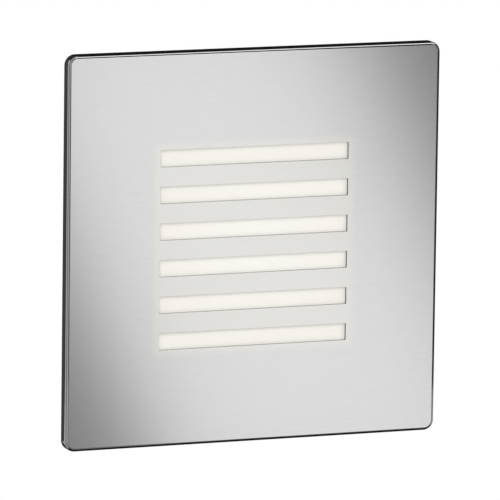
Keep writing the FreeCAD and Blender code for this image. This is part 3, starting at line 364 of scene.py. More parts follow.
# Each row: slot, colour, roughness, metallic, mottle and its size, gloss spread, then the relief's kind,
# size and depth, and the stretch.
FINISHES: tuple[Finish, ...] = (
    BrushedPan("brushed_stainless", (0.70, 0.70, 0.70), 0.20, 1.0, 0.0095, 0.8 * MM, 0.012,
               Relief.DRAWN, 0.25 * MM, 0.0001 * MM, (0.13, 1.0, 1.0)),
    Finish("plain_steel", (0.66, 0.66, 0.65), 0.28, 1.0, 0.05, 3 * MM, 0.08,
           Relief.DRAWN, 0.3 * MM, 0.002 * MM),
    Finish("spring_steel", (0.50, 0.50, 0.51), 0.32, 1.0, 0.06, 4 * MM, 0.08,
           Relief.DRAWN, 0.2 * MM, 0.002 * MM, (1.0, 0.08, 1.0)),
    LitOpal("opal_panel", (0.60, 0.58, 0.54), 0.35, 0.0, 0.01, 20 * MM, 0.03,
            Relief.SATIN, 0.5 * MM, 0.002 * MM),
    Finish("foam_gasket", (0.035, 0.035, 0.037), 0.9, 0.0, 0.2, 2 * MM, 0.05,
           Relief.CELLS, 0.45 * MM, 0.12 * MM),
    Finish("housing_plastic", (0.12, 0.12, 0.125), 0.52, 0.0, 0.08, 9 * MM, 0.07,
           Relief.SPARK, 0.3 * MM, 0.02 * MM),
    Finish("box_plastic", (0.055, 0.055, 0.06), 0.45, 0.0, 0.10, 14 * MM, 0.08,
           Relief.SPARK, 0.4 * MM, 0.02 * MM),
    Finish("black_rubber", (0.025, 0.025, 0.026), 0.7, 0.0, 0.2, 5 * MM, 0.08,
           Relief.SATIN, 0.2 * MM, 0.01 * MM),
    Finish("silicone_seal", (0.55, 0.56, 0.55), 0.5, 0.0, 0.05, 5 * MM, 0.06,
           Relief.SATIN, 0.3 * MM, 0.01 * MM),
    Finish("white_reflector", (0.88, 0.88, 0.87), 0.3, 0.0, 0.02, 8 * MM, 0.04,
           Relief.SATIN, 0.4 * MM, 0.004 * MM),
    Finish("aluminium_plate", (0.74, 0.75, 0.76), 0.34, 1.0, 0.05, 4 * MM, 0.07,
           Relief.DRAWN, 0.2 * MM, 0.002 * MM, (0.05, 1.0, 1.0)),
    Finish("white_board", (0.86, 0.87, 0.86), 0.3, 0.0, 0.03, 6 * MM, 0.05,
           Relief.SATIN, 0.3 * MM, 0.004 * MM),
    Finish("led_body", (0.90, 0.90, 0.88), 0.35, 0.0, 0.03, 1 * MM, 0.05, Relief.SATIN, 0.2 * MM, 0.003 * MM),
    Finish("led_phosphor", (0.85, 0.66, 0.20), 0.25, 0.0, 0.08, 0.6 * MM, 0.05,
           Relief.CAST, 0.1 * MM, 0.003 * MM),
    Finish("connector_nylon", (0.86, 0.84, 0.77), 0.45, 0.0, 0.04, 3 * MM, 0.06,
           Relief.SATIN, 0.2 * MM, 0.004 * MM),
    Finish("green_board", (0.03, 0.19, 0.08), 0.3, 0.0, 0.25, 2.4 * MM, 0.06,
           Relief.SATIN, 0.5 * MM, 0.01 * MM),
    Finish("ferrite", (0.09, 0.09, 0.095), 0.6, 0.0, 0.2, 1 * MM, 0.1, Relief.CAST, 0.25 * MM, 0.02 * MM),
    Finish("winding_tape", (0.72, 0.55, 0.10), 0.22, 0.0, 0.08, 3 * MM, 0.06,
           Relief.SATIN, 1.2 * MM, 0.02 * MM),
    Finish("capacitor_sleeve", (0.03, 0.035, 0.06), 0.25, 0.0, 0.2, 4 * MM, 0.06,
           Relief.SATIN, 0.8 * MM, 0.01 * MM),
    Finish("film_case", (0.45, 0.42, 0.10), 0.3, 0.0, 0.06, 4 * MM, 0.06, Relief.SATIN, 0.3 * MM, 0.005 * MM),
    Finish("component_black", (0.03, 0.03, 0.03), 0.5, 0.0, 0.2, 1 * MM, 0.08,
           Relief.CAST, 0.2 * MM, 0.01 * MM),
    Finish("varistor_blue", (0.04, 0.12, 0.35), 0.25, 0.0, 0.1, 2 * MM, 0.06,
           Relief.SATIN, 1.0 * MM, 0.04 * MM),
    Finish("terminal_nylon", (0.80, 0.80, 0.77), 0.42, 0.0, 0.04, 5 * MM, 0.07,
           Relief.SATIN, 0.25 * MM, 0.006 * MM),
    Finish("barrel_brass", (0.72, 0.55, 0.24), 0.25, 1.0, 0.08, 2 * MM, 0.08,
           Relief.DRAWN, 0.15 * MM, 0.003 * MM),
    insulation("insulation_brown", (0.16, 0.065, 0.03)),
    insulation("insulation_blue", (0.02, 0.12, 0.45)),
    insulation("insulation_red", (0.50, 0.02, 0.02)),
    insulation("insulation_black", (0.02, 0.02, 0.02), 0.2),
)


class FinishShelf:
    """The finishes by slot name, each built once."""

    def __init__(self, finishes: Iterable[Finish]) -> None:
        """Args:
            finishes: every finish that the record's slots name.
        """
        self.finishes = {finish.name: finish for finish in finishes}
        self.built: dict[str, bpy.types.Material] = {}

    def get(self, name: str) -> bpy.types.Material:
        """Returns the material of a slot, built at its first use."""
        if name not in self.built:
            self.built[name] = self.finishes[name].material()
        return self.built[name]


# ---------------------------------------------------------------- mesh helpers
def skin(mesh: bmesh.types.BMesh, rings: Sequence[Ring]) -> None:
    """Joins each ring of a mesh to the next with quads."""
    for first, second in zip(rings, rings[1:]):
        for index, vertex in enumerate(first):
            follow = (index + 1) % len(first)
            mesh.faces.new((vertex, first[follow], second[follow], second[index]))


def fill(mesh: bmesh.types.BMesh, rings: Iterable[Ring]) -> None:
    """Fills the flat space between an outer ring and the rings of its holes."""
    edges = [mesh.edges.get((vertex, ring[(index + 1) % len(ring)]))
             for ring in rings for index, vertex in enumerate(ring)]
    bmesh.ops.triangle_fill(mesh, use_beauty=True, use_dissolve=False, edges=edges)


def quarter_round(radius: float, steps: int = EDGE_STEPS) -> list[tuple[float, float]]:
    """Sine and cosine, times a radius, at each step round a quarter of a circle."""
    turns = [math.radians(90 * step / steps) for step in range(steps + 1)]
    return [(radius * math.sin(turn), radius * math.cos(turn)) for turn in turns]


def new_piece(name: str, mesh: bmesh.types.BMesh, material: bpy.types.Material) -> bpy.types.Object:
    """Turns a bmesh into an object with one material.

    Args:
        name: the object's name.
        mesh: the geometry, freed afterwards.
        material: its finish.

    Returns:
        The object, linked to the scene.
    """
    data = bpy.data.meshes.new(name)
    mesh.to_mesh(data)
    mesh.free()
    data.materials.append(material)
    piece = bpy.data.objects.new(name, data)
    bpy.context.scene.collection.objects.link(piece)
    return piece


@dataclass(frozen=True)
class RoundedRectangle:
    """A rectangle with round corners in a plane of constant Y.

    Attributes:
        half_x: half its width.
        half_z: half its height.
        radius: corner radius.
        y: where its plane lies.
        middle_z: height of its middle.
        steps: straight pieces in each corner.
    """

    half_x: float
    half_z: float
    radius: float
    y: float
    middle_z: float = 0.0
    steps: int = 10

    def points(self) -> list[tuple[Vector, Vector]]:
        """Returns each outline point with the outward direction there, anticlockwise from the room."""
        found = []
        for turn, (side_x, side_z) in enumerate(((1, 1), (-1, 1), (-1, -1), (1, -1))):
            x, z = side_x * (self.half_x - self.radius), side_z * (self.half_z - self.radius)
            for step in range(self.steps + 1):
                angle = math.radians(90 * (turn + step / self.steps))
                out = Vector((math.cos(angle), 0.0, math.sin(angle)))
                found.append((Vector((x, self.y, z + self.middle_z)) + out * self.radius, out))
        return found


class SheetMesh:
    """Builds a closed sheet-metal shape ring by ring, with a UV map that unrolls its bends."""

    def __init__(self, face_y: float) -> None:
        """Args:
            face_y: the level of the flat face, from which depth is measured.
        """
        self.mesh = bmesh.new()
        self.grain = self.mesh.verts.layers.float_vector.new("unrolled")
        self.cut = self.mesh.verts.layers.float.new(CUT_EDGE)
        self.rolled = self.mesh.verts.layers.float.new(ROLLED)
        self.face_y = face_y

    def ring(self, outline: RoundedRectangle, bend_out: float = 1.0, cut: float = 0.0,
             rolled: float = 0.0) -> Ring:
        """Adds the outline's vertices.

        Args:
            outline: where they lie.
            bend_out: 1 where the sheet's grain runs on outwards over a bend, 0 where it doesn't.
            cut: 1 on a cut edge, which is darkened to near black.
            rolled: 1 on a bend, which is glossier than they are.

        Returns:
            The new vertices in order.
        """
        vertices = []
        for point, out in outline.points():
            vertex = self.mesh.verts.new(point)
            vertex[self.grain] = point + out * (point.y - self.face_y) * bend_out
            vertex[self.cut] = cut
            vertex[self.rolled] = rolled
            vertices.append(vertex)
        return vertices

    def finish(self, name: str, material: bpy.types.Material) -> bpy.types.Object:
        """Turns the mesh into an object.

        Args:
            name: the piece's name.
            material: its finish.

        Returns:
            The object, at the origin, with every face shaded smooth.
        """
        bmesh.ops.recalc_face_normals(self.mesh, faces=self.mesh.faces)
        layer = self.mesh.loops.layers.uv.new("Grain")
        for face in self.mesh.faces:
            face.smooth = True
            for corner in face.loops:
                unrolled = corner.vert[self.grain]
                corner[layer].uv = (unrolled.x / GRAIN_TILE, unrolled.z / GRAIN_TILE)
        self.mesh.verts.layers.float_vector.remove(self.grain)
        return new_piece(name, self.mesh, material)


# ---------------------------------------------------------------- front plate
@dataclass
class FrontPlate:
    """The pressed stainless pan with its light slots.

    Attributes:
        shelf: the finishes.
        sheet: thickness of the steel.
        corner_radius: corners of the outline.
        least_corner: the least that they shrink to further in.
        bend_radius: outside radius of the bend from face to rim.
        inner_bend: inside radius of the same bend.
        edge_round: broken edge of the slots and of the rim.
        support: width of the flat strip beside each round edge.
        rim_to_wall: how far the rim ends from the wall.
        slot_count: number of slots.
        slot_length: length of a slot.
        slot_height: height of a slot.
        slot_pitch: distance between slots.
        slot_corner: corner radius of a slot.
        slot_corner_steps: straight pieces in it.
        bend_steps: strips round the bend.
    """

    shelf: FinishShelf
    sheet: float = 1.0 * MM
    corner_radius: float = 3.8 * MM
    least_corner: float = 0.4 * MM
    bend_radius: float = 1.2 * MM
    inner_bend: float = 0.2 * MM
    edge_round: float = 0.05 * MM
    support: float = 0.12 * MM
    rim_to_wall: float = 0.1 * MM
    slot_count: int = 6
    slot_length: float = 70.7 * MM
    slot_height: float = 6.0 * MM
    slot_pitch: float = 13.0 * MM
    slot_corner: float = 0.25 * MM
    slot_corner_steps: int = 4
    bend_steps: int = 12

    def __post_init__(self) -> None:
        """Takes the pan's width and levels from its solid."""
        low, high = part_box("front_plate")
        self.half = (high.x - low.x) / 2
        self.face_y, self.rim_y = low.y, -self.rim_to_wall
        self.back_y = self.face_y + self.sheet

    def build(self) -> bpy.types.Object:
        """Builds the pan and lets it stand for its solid.

        Returns:
            The pan's object.
        """
        sheet = SheetMesh(self.face_y)
        outlines = self.outer_outlines()
        last = len(outlines) - 1
        outside = [sheet.ring(outline, rolled=float(0 < place < last))
                   for place, outline in enumerate(outlines)]
        skin(sheet.mesh, outside)
        front, back = [outside[0]], [outside[-1]]
        for row in range(self.slot_count):
            rings = [sheet.ring(outline, 0.0, float(place in WALL_RINGS))
                     for place, outline in enumerate(self.slot_outlines(row))]
            skin(sheet.mesh, rings)
            front.append(rings[0])
            back.append(rings[-1])
        fill(sheet.mesh, front)
        fill(sheet.mesh, back)
        piece = sheet.finish("pressed_pan", self.shelf.get("brushed_stainless"))
        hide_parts("front_plate")
        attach(piece, "lamp")
        return piece

    def outline(self, inset: float, y: float) -> RoundedRectangle:
        """The pan's outline, moved inwards by a distance, at a level."""
        half = self.half - inset
        return RoundedRectangle(half, half, max(self.corner_radius - inset, self.least_corner), y)

    def outer_outlines(self) -> list[RoundedRectangle]:
        """Outlines from the face over the bend and rim to the back of the sheet."""
        bend, lip, inner = self.bend_radius, self.edge_round, self.inner_bend
        lips = quarter_round(lip)
        steps = [(bend + self.support, self.face_y)]
        steps += [(bend - sine, self.face_y + bend - cosine)
                  for sine, cosine in quarter_round(bend, self.bend_steps)]
        steps += [(lip - cosine, self.rim_y - lip + sine) for sine, cosine in lips]
        steps += [(self.sheet - lip + sine, self.rim_y - lip + cosine) for sine, cosine in lips]
        steps += [(self.sheet + inner - cosine, self.back_y + inner - sine)
                  for sine, cosine in quarter_round(inner)]
        steps.append((self.sheet + inner + self.support, self.back_y))
        return [self.outline(inset, y) for inset, y in steps]

    def slot_outlines(self, row: int) -> list[RoundedRectangle]:
        """Outlines of one slot from the face to the back of the sheet, its edges broken."""
        middle = ((self.slot_count - 1) / 2 - row) * self.slot_pitch
        lip, lips = self.edge_round, quarter_round(self.edge_round)
        steps = [(lip + self.support, self.face_y)]
        steps += [(lip - sine, self.face_y + lip - cosine) for sine, cosine in lips]
        steps += [(lip - cosine, self.back_y - lip + sine) for sine, cosine in lips]
        steps.append((lip + self.support, self.back_y))
        return [RoundedRectangle(self.slot_length / 2 + outset, self.slot_height / 2 + outset,
                                 self.slot_corner + outset, y, middle, self.slot_corner_steps)
                for outset, y in steps]


# ---------------------------------------------------------------- edges softened
def welded_copy(node: str) -> bmesh.types.BMesh:
    """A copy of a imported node's mesh with its loose triangles joined, which the caller frees."""
    mesh = bmesh.new()
    mesh.from_mesh(frame["nodes"][node].data)
    bmesh.ops.remove_doubles(mesh, verts=mesh.verts, dist=WELD)
    return mesh


def whole_faced_copy(node: str) -> bmesh.types.BMesh:
    """A welded copy whose flat faces are whole, which the caller frees."""
    mesh = welded_copy(node)
    bmesh.ops.dissolve_limit(mesh, angle_limit=FLAT, verts=mesh.verts, edges=mesh.edges)
    return mesh


def shade_soft(mesh: bmesh.types.BMesh, rounded: set[bmesh.types.BMFace]) -> None:
    """Shades round faces smooth and leaves flat ones flat, so that soft edges catch the light.

    Args:
        mesh: the geometry.
        rounded: faces that belong to a softened edge.
    """
    for edge in mesh.edges:
        edge.smooth = len(edge.link_faces) == 2 and edge.calc_face_angle(0.0) < CREASE
    for face in mesh.faces:
        turns = [edge.calc_face_angle(0.0) for edge in face.edges
                 if edge.smooth and not rounded.intersection(edge.link_faces)]
        face.smooth = face in rounded or any(turn > BARELY_ROUND for turn in turns)


def slot_of(node: str) -> str:
    """The record's material slot of a node."""
    return next(part["material_slot"] for part in frame["record"]["subparts"] if part["node"] == node)


def body_of(node: str) -> str:
    """The body that a node moves with."""
    bodies = frame["record"]["behaviour"]["bodies"]
    return next(body for body, nodes in bodies.items() if node in nodes)


def stand_in(piece: bpy.types.Object, *nodes: str) -> bpy.types.Object:
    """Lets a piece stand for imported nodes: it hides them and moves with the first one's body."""
    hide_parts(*nodes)
    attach(piece, body_of(nodes[0]))
    return piece


@dataclass(frozen=True)
class SoftEdged:
    """A moulded or stamped piece as packed, with the small round edges that its tool leaves.

    Attributes:
        node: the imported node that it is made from.
        name: the piece's name.
        edge_round: width of the rounded edge.
        steps: strips across it.
        shortest: length of the shortest edge that is rounded, as a share of edge_round.
    """

    node: str
    name: str
    edge_round: float = 0.3 * MM
    steps: int = 2
    shortest: float = 0.3

    def build(self, shelf: FinishShelf) -> bpy.types.Object:
        """Builds the piece.

        Args:
            shelf: the finishes.

        Returns:
            The piece, standing for its node.
        """
        mesh = whole_faced_copy(self.node)
        edges = [edge for edge in mesh.edges if self.takes_round(edge)]
        made = bmesh.ops.bevel(mesh, geom=edges, offset=self.edge_round, offset_type="OFFSET",
                               segments=self.steps, profile=0.5, affect="EDGES", clamp_overlap=False,
                               miter_outer="SHARP")
        shade_soft(mesh, set(made["faces"]))
        return stand_in(new_piece(self.name, mesh, shelf.get(slot_of(self.node))), self.node)

    def takes_round(self, edge: bmesh.types.BMEdge) -> bool:
        """Whether an edge is an outer corner that is long enough to round."""
        if len(edge.link_faces) != 2 or edge.calc_length() < self.shortest * self.edge_round:
            return False
        return edge.is_convex and edge.calc_face_angle(0.0) > CREASE


SOFT_EDGED: tuple[SoftEdged, ...] = (
    SoftEdged("recess_box", "moulded_wall_box", 0.35 * MM),
    SoftEdged("inner_housing", "moulded_lamp_housing", 0.3 * MM),
    SoftEdged("rear_cover", "moulded_rear_cover", 0.25 * MM),
    SoftEdged("terminal_block", "moulded_terminal_block", 0.2 * MM),
    SoftEdged("cable_clamp", "moulded_cable_clamp", 0.3 * MM),
    SoftEdged("cable_grommet", "moulded_cable_grommet", 0.25 * MM),
    SoftEdged("blanking_grommet", "moulded_blanking_grommet", 0.25 * MM),
    SoftEdged("wall_gasket", "cut_foam_gasket", 0.4 * MM),
    SoftEdged("lead_grommet", "moulded_lead_grommet", 0.15 * MM),
    SoftEdged("clip_right", "stamped_right_clip", 0.1 * MM),
    SoftEdged("clip_left", "stamped_left_clip", 0.1 * MM),
    SoftEdged("clip_brackets", "stamped_clip_brackets", 0.12 * MM),
    SoftEdged("clip_pins", "turned_clip_pins", 0.12 * MM),
    SoftEdged("clip_rivets", "formed_clip_rivets", 0.25 * MM, 3),
    SoftEdged("stud_washers", "punched_washers", 0.12 * MM),
    SoftEdged("terminal_barrels", "turned_wire_barrels", 0.15 * MM),
    SoftEdged("driver_spacers", "moulded_board_spacers", 0.15 * MM),
    SoftEdged("reflector", "moulded_reflector", 0.15 * MM),
    SoftEdged("heat_spreader", "sawn_heat_spreader", 0.15 * MM),
)


@dataclass(frozen=True)
class TorsionSpring:
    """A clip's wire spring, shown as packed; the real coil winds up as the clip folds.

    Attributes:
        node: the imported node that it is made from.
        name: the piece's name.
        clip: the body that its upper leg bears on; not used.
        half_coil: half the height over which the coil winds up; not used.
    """

    node: str
    name: str
    clip: str
    half_coil: float = 1.5 * MM

    def build(self, shelf: FinishShelf) -> bpy.types.Object:
        """Builds the spring.

        Args:
            shelf: the finishes.

        Returns:
            The piece, in place of its node, which is hidden.
        """
        mesh = welded_copy(self.node)
        shade_soft(mesh, set())
        spring = new_piece(self.name, mesh, shelf.get(slot_of(self.node)))
        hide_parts(self.node)
        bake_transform(spring)
        return spring


TORSION_SPRINGS: tuple[TorsionSpring, ...] = (
    TorsionSpring("clip_spring_right", "wound_right_spring", "right_clip"),
    TorsionSpring("clip_spring_left", "wound_left_spring", "left_clip"),
)


# ---------------------------------------------------------------- fasteners
class Drive(Enum):
    """How a fastener is turned: half its recess's length and width, as shares of the head's radius."""

    CROSS = (0.58, 0.13)
    SLOT = (0.84, 0.24)
    NONE = (0.0, 0.0)


@dataclass(frozen=True)
class Solid:
    """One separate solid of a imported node, round an axis along Y.

    Attributes:
        low: its lowest corner.
        high: its highest corner.
        head_at_back: whether its wide end is the one further from the room.
    """

    low: Vector
    high: Vector
    head_at_back: bool

    def axis_at(self, y: float) -> Vector:
        """Returns the point on its axis at a depth."""
        middle = (self.low + self.high) / 2
        middle.y = y
        return middle


def solids_of(node: str) -> list[Solid]:
    """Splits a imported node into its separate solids.

    Args:
        node: the node's name.

    Returns:
        The solids, from left to right and from the bottom up.
    """
    mesh = whole_faced_copy(node)
    waiting, found = set(mesh.verts), []
    while waiting:
        heap, group = [waiting.pop()], []
        while heap:
            vertex = heap.pop()
            group.append(vertex.co.copy())
            for edge in vertex.link_edges:
                other = edge.other_vert(vertex)
                if other in waiting:
                    waiting.remove(other)
                    heap.append(other)
        low, high = (Vector([pick(point[axis] for point in group) for axis in range(3)])
                     for pick in (min, max))
        middle = (low + high) / 2
        reach = {}
        for end in (False, True):
            near = [point for point in group if (point.y > middle.y) == end]
            reach[end] = max(math.hypot(point.x - middle.x, point.z - middle.z) for point in near)
        found.append(Solid(low, high, reach[True] >= reach[False]))
    mesh.free()
    return sorted(found, key=lambda solid: (round(solid.low.x, 4), solid.low.z))


class Lathe:
    """Builds a closed shape ring by ring round the Z axis."""

    def __init__(self, segments: int) -> None:
        """Args:
            segments: straight pieces in each ring.
        """
        self.mesh = bmesh.new()
        self.segments = segments

    def ring(self, radius: float, z: float, wave: float = 0.0, phase: float = 0.0) -> Ring:
        """Adds a ring whose radius may follow a thread.

        Args:
            radius: outer radius.
            z: its height.
            wave: depth of the thread.
            phase: turns of thread up to here.

        Returns:
            The ring's vertices.
        """
        ring = []
        for index in range(self.segments):
            share = index / self.segments
            angle = 2 * math.pi * share
            reach = radius - wave * (0.5 + 0.5 * math.cos(2 * math.pi * (phase - share)))
            ring.append(self.mesh.verts.new((reach * math.cos(angle), reach * math.sin(angle), z)))
        return ring

    def recess(self, ring: Ring, outline: Sequence[tuple[float, float]], depth: float,
               taper: float = 0.8) -> None:
        """Closes a ring with a flat top that has a recess in it.

        Args:
            ring: the top's edge.
            outline: the recess's corners.
            depth: how deep it goes.
            taper: size of its floor, as a share of its mouth.
        """
        top = ring[0].co.z
        rows = [[self.mesh.verts.new((x * size, y * size, z)) for x, y in outline]
                for z, size in ((top, 1.0), (top - depth, taper))]
        skin(self.mesh, rows)
        self.mesh.faces.new(rows[1])
        fill(self.mesh, (ring, rows[0]))

    def finish(self) -> bmesh.types.BMesh:
        """Returns the mesh with its faces outwards and its shading set."""
        bmesh.ops.recalc_face_normals(self.mesh, faces=self.mesh.faces)
        shade_soft(self.mesh, set())
        return self.mesh


@dataclass(frozen=True)
class Screw:
    """A turned and threaded fastener along Z, its head on z = 0 and its shank below.

    Attributes:
        head_radius: radius of its head.
        head_height: height of its head.
        shank_radius: radius over the thread.
        pitch: pitch of the thread.
        drive: how it is turned.
        domed: whether the head is a pan head rather than a plain disc.
        pointed: whether the shank ends in a point that starts its own thread.
        segments: straight pieces round it.
        recess_depth: depth of the drive, as a share of the head's height.
        thread_depth: depth of the thread, as a share of its pitch.
        rings_per_turn: rings in each turn of the thread.
        tip: radius of the point's end, as a share of the shank's.
        point_length: length of the point, in shank radii.
        chamfer: radius of a blunt end, as a share of the shank's.
    """

    head_radius: float
    head_height: float
    shank_radius: float
    pitch: float
    drive: Drive
    domed: bool = True
    pointed: bool = True
    segments: int = 24
    recess_depth: float = 0.52
    thread_depth: float = 0.38
    rings_per_turn: int = 4
    tip: float = 0.35
    point_length: float = 1.6
    chamfer: float = 0.86

    def mesh(self, length: float) -> bmesh.types.BMesh:
        """Builds the fastener.

        Args:
            length: length of its shank.

        Returns:
            The mesh.
        """
        lathe = Lathe(self.segments)
        rings = [lathe.ring(self.head_radius * radius, self.head_height * z)
                 for radius, z in self.head_profile()]
        rings += self.thread(lathe, length)
        skin(lathe.mesh, rings)
        lathe.mesh.faces.new(rings[-1])
        outline = self.drive_outline()
        if outline:
            lathe.recess(rings[0], outline, self.head_height * self.recess_depth)
        else:
            lathe.mesh.faces.new(rings[0])
        return lathe.finish()

    def place(self, solid: Solid, back: bool) -> Vector:
        """Returns where its z = 0 sits in a solid whose head is at the back or at the front."""
        return solid.axis_at(solid.high.y - self.head_height if back else solid.low.y + self.head_height)

    def head_profile(self) -> Sequence[tuple[float, float]]:
        """Radius and height of the head's outline, as shares of the whole."""
        if self.domed:
            return ((0.72, 1.0), (0.86, 0.94), (0.95, 0.80), (1.0, 0.55), (1.0, 0.12), (0.97, 0.0))
        return ((0.92, 1.0), (1.0, 0.90), (1.0, 0.06), (0.97, 0.0))

    def thread(self, lathe: Lathe, length: float) -> list[Ring]:
        """Adds the shank's rings from the head down."""
        depth = self.pitch * self.thread_depth
        count = max(4, round(length / self.pitch * self.rings_per_turn))
        rings = []
        for step in range(count + 1):
            down = length * step / count
            left = length - down
            taper = 1.0
            if self.pointed:
                rise = (1.0 - self.tip) * left / (self.point_length * self.shank_radius)
                taper = min(1.0, self.tip + rise)
            elif left < 0.5 * depth:
                taper = self.chamfer
            wave = depth * min(1.0, down / self.pitch)
            rings.append(lathe.ring(self.shank_radius * taper, -down, wave * taper, down / self.pitch))
        return rings

    def drive_outline(self) -> list[tuple[float, float]]:
        """Corners of the recess in the head, or none."""
        long, wide = (self.head_radius * share for share in self.drive.value)
        if self.drive is Drive.CROSS:
            return [(long, -wide), (long, wide), (wide, wide), (wide, long),
                    (-wide, long), (-wide, wide), (-long, wide), (-long, -wide),
                    (-wide, -wide), (-wide, -long), (wide, -long), (wide, -wide)]
        if self.drive is Drive.SLOT:
            return [(long, -wide), (long, wide), (-long, wide), (-long, -wide)]
        return []


@dataclass(frozen=True)
class Nut:
    """A hexagon nut with chamfered corners, from its seat at z = 0 up.

    Attributes:
        across: width across its flats.
        head_height: its height.
        bore: radius of its hole.
        chamfer: height of the chamfer on its corners.
        seat: radius of the chamfer's circle on its faces, as a share of half its width.
        countersink: width and depth of the chamfer round its hole.
        segments: straight pieces round it.
    """

    across: float
    head_height: float
    bore: float
    chamfer: float = 0.35 * MM
    seat: float = 0.96
    countersink: float = 0.25 * MM
    segments: int = 48

    def mesh(self, length: float) -> bmesh.types.BMesh:
        """Builds the nut; the length is not used, because it has no shank."""
        lathe = Lathe(self.segments)
        half, tall, cut, sink = self.across / 2, self.head_height, self.chamfer, self.countersink
        rings = []
        for z in (0.0, cut / 2, cut, tall - cut, tall - cut / 2, tall):
            limit = half * self.seat + min(z, tall - z) * math.tan(math.radians(60))
            ring = lathe.ring(half, z)
            for index, vertex in enumerate(ring):
                turn = math.radians((360 * index / self.segments + 30) % 60 - 30)
                reach = min(half / math.cos(math.radians(30) - abs(turn)), limit)
                vertex.co.xy = vertex.co.xy.normalized() * reach
            rings.append(ring)
        rings += [lathe.ring(self.bore + rise, z)
                  for rise, z in ((sink, tall), (0.0, tall - sink), (0.0, sink), (sink, 0.0))]
        rings.append(rings[0])
        skin(lathe.mesh, rings)
        return lathe.finish()

    def place(self, solid: Solid, back: bool) -> Vector:
        """Returns where its z = 0 sits in a solid."""
        return solid.axis_at(solid.low.y if back else solid.high.y)


class FastenerTree:
    """Geometry Nodes tree that sets a fastener at every place, each turned at random."""

    def __init__(self) -> None:
        """Builds the tree."""
        self.tree = bpy.data.node_groups.new("set_out_fasteners", "GeometryNodeTree")
        self.keys: dict[str, str] = {}
        for name, kind in (("Places", "Geometry"), ("Fastener", "Object"), ("Tilt", "Float"),
                           ("Greatest Turn", "Float"), ("Seed", "Int"), ("Finish", "Material")):
            socket = self.tree.interface.new_socket(name, in_out="INPUT", socket_type=f"NodeSocket{kind}")
            self.keys[name] = socket.identifier
        self.tree.interface.new_socket("Fasteners", in_out="OUTPUT", socket_type="NodeSocketGeometry")
        graph = NodeGraph(self.tree)
        given = graph.add("NodeGroupInput").outputs
        master = graph.add("GeometryNodeObjectInfo", {"Object": given["Fastener"]},
                           transform_space="ORIGINAL")
        tilt = graph.add("ShaderNodeCombineXYZ", {"X": given["Tilt"]})
        placed = graph.add("GeometryNodeInstanceOnPoints", {
            "Points": given["Places"], "Instance": master.outputs["Geometry"], "Rotation": tilt.outputs[0]})
        chance = graph.add("FunctionNodeRandomValue", {3: given["Greatest Turn"], "Seed": given["Seed"]},
                           data_type="FLOAT")
        spin = graph.add("ShaderNodeCombineXYZ", {"Z": chance.outputs[1]})
        turned = graph.add("GeometryNodeRotateInstances", {
            "Local Space": True, "Instances": placed.outputs[0], "Rotation": spin.outputs[0]})
        real = graph.add("GeometryNodeRealizeInstances", {0: turned.outputs[0]})
        dressed = graph.add("GeometryNodeSetMaterial", {
            "Geometry": real.outputs[0], "Material": given["Finish"]})
        graph.add("NodeGroupOutput", {0: dressed.outputs[0]})

    def set_out(self, name: str, places: Sequence[Vector], master: bmesh.types.BMesh, values: dict,
                finish: bpy.types.Material) -> bpy.types.Object:
        """Sets fasteners out and turns the result into a plain mesh.

        Args:
            name: the piece's name.
            places: where each one sits.
            master: one fastener, freed afterwards.
            values: the tree's other inputs, by name.
            finish: the material.

        Returns:
            The piece, with no modifier left on it.
        """
        pattern = new_piece(name + "_pattern", master, finish)
        points = bmesh.new()
        for place in places:
            points.verts.new(place)
        carrier = new_piece(name + "_places", points, finish)
        modifier = carrier.modifiers.new("set_out", "NODES")
        modifier.node_group = self.tree
        for key, value in {"Fastener": pattern, "Finish": finish, **values}.items():
            modifier[self.keys[key]] = value
        graph = bpy.context.evaluated_depsgraph_get()
        mesh = bpy.data.meshes.new_from_object(carrier.evaluated_get(graph))
        for spare in (carrier, pattern):
            bpy.data.objects.remove(spare)
        piece = bpy.data.objects.new(name, mesh)
        bpy.context.scene.collection.objects.link(piece)
        return piece


@dataclass(frozen=True)
class FastenerRow:
    """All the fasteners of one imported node.

    Attributes:
        node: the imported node.
        name: the piece's name.
        kind: the fastener.
        greatest_turn: how far each may be turned, in degrees.
        seed: seed of the turns.
    """

    node: str
    name: str
    kind: Screw | Nut
    greatest_turn: float = 360.0
    seed: int = 1

    def build(self, shelf: FinishShelf, tree: FastenerTree) -> list[bpy.types.Object]:
        """Builds the fasteners, one piece for each length among them.

        Args:
            shelf: the finishes.
            tree: the tree that sets them out.

        Returns:
            The pieces, standing for the node.
        """
        by_length: dict[float, list[Solid]] = {}
        for solid in solids_of(self.node):
            length = round(solid.high.y - solid.low.y - self.kind.head_height, 5)
            by_length.setdefault(length, []).append(solid)
        pieces = []
        for number, (length, solids) in enumerate(sorted(by_length.items()), 1):
            back = solids[0].head_at_back
            values = {"Tilt": math.radians(-90 if back else 90),
                      "Greatest Turn": math.radians(self.greatest_turn), "Seed": self.seed + number}
            places = [self.kind.place(solid, back) for solid in solids]
            name = self.name if len(by_length) == 1 else f"{self.name}_{number}"
            piece = tree.set_out(name, places, self.kind.mesh(length), values, shelf.get(slot_of(self.node)))
            pieces.append(stand_in(piece, self.node))
        return pieces


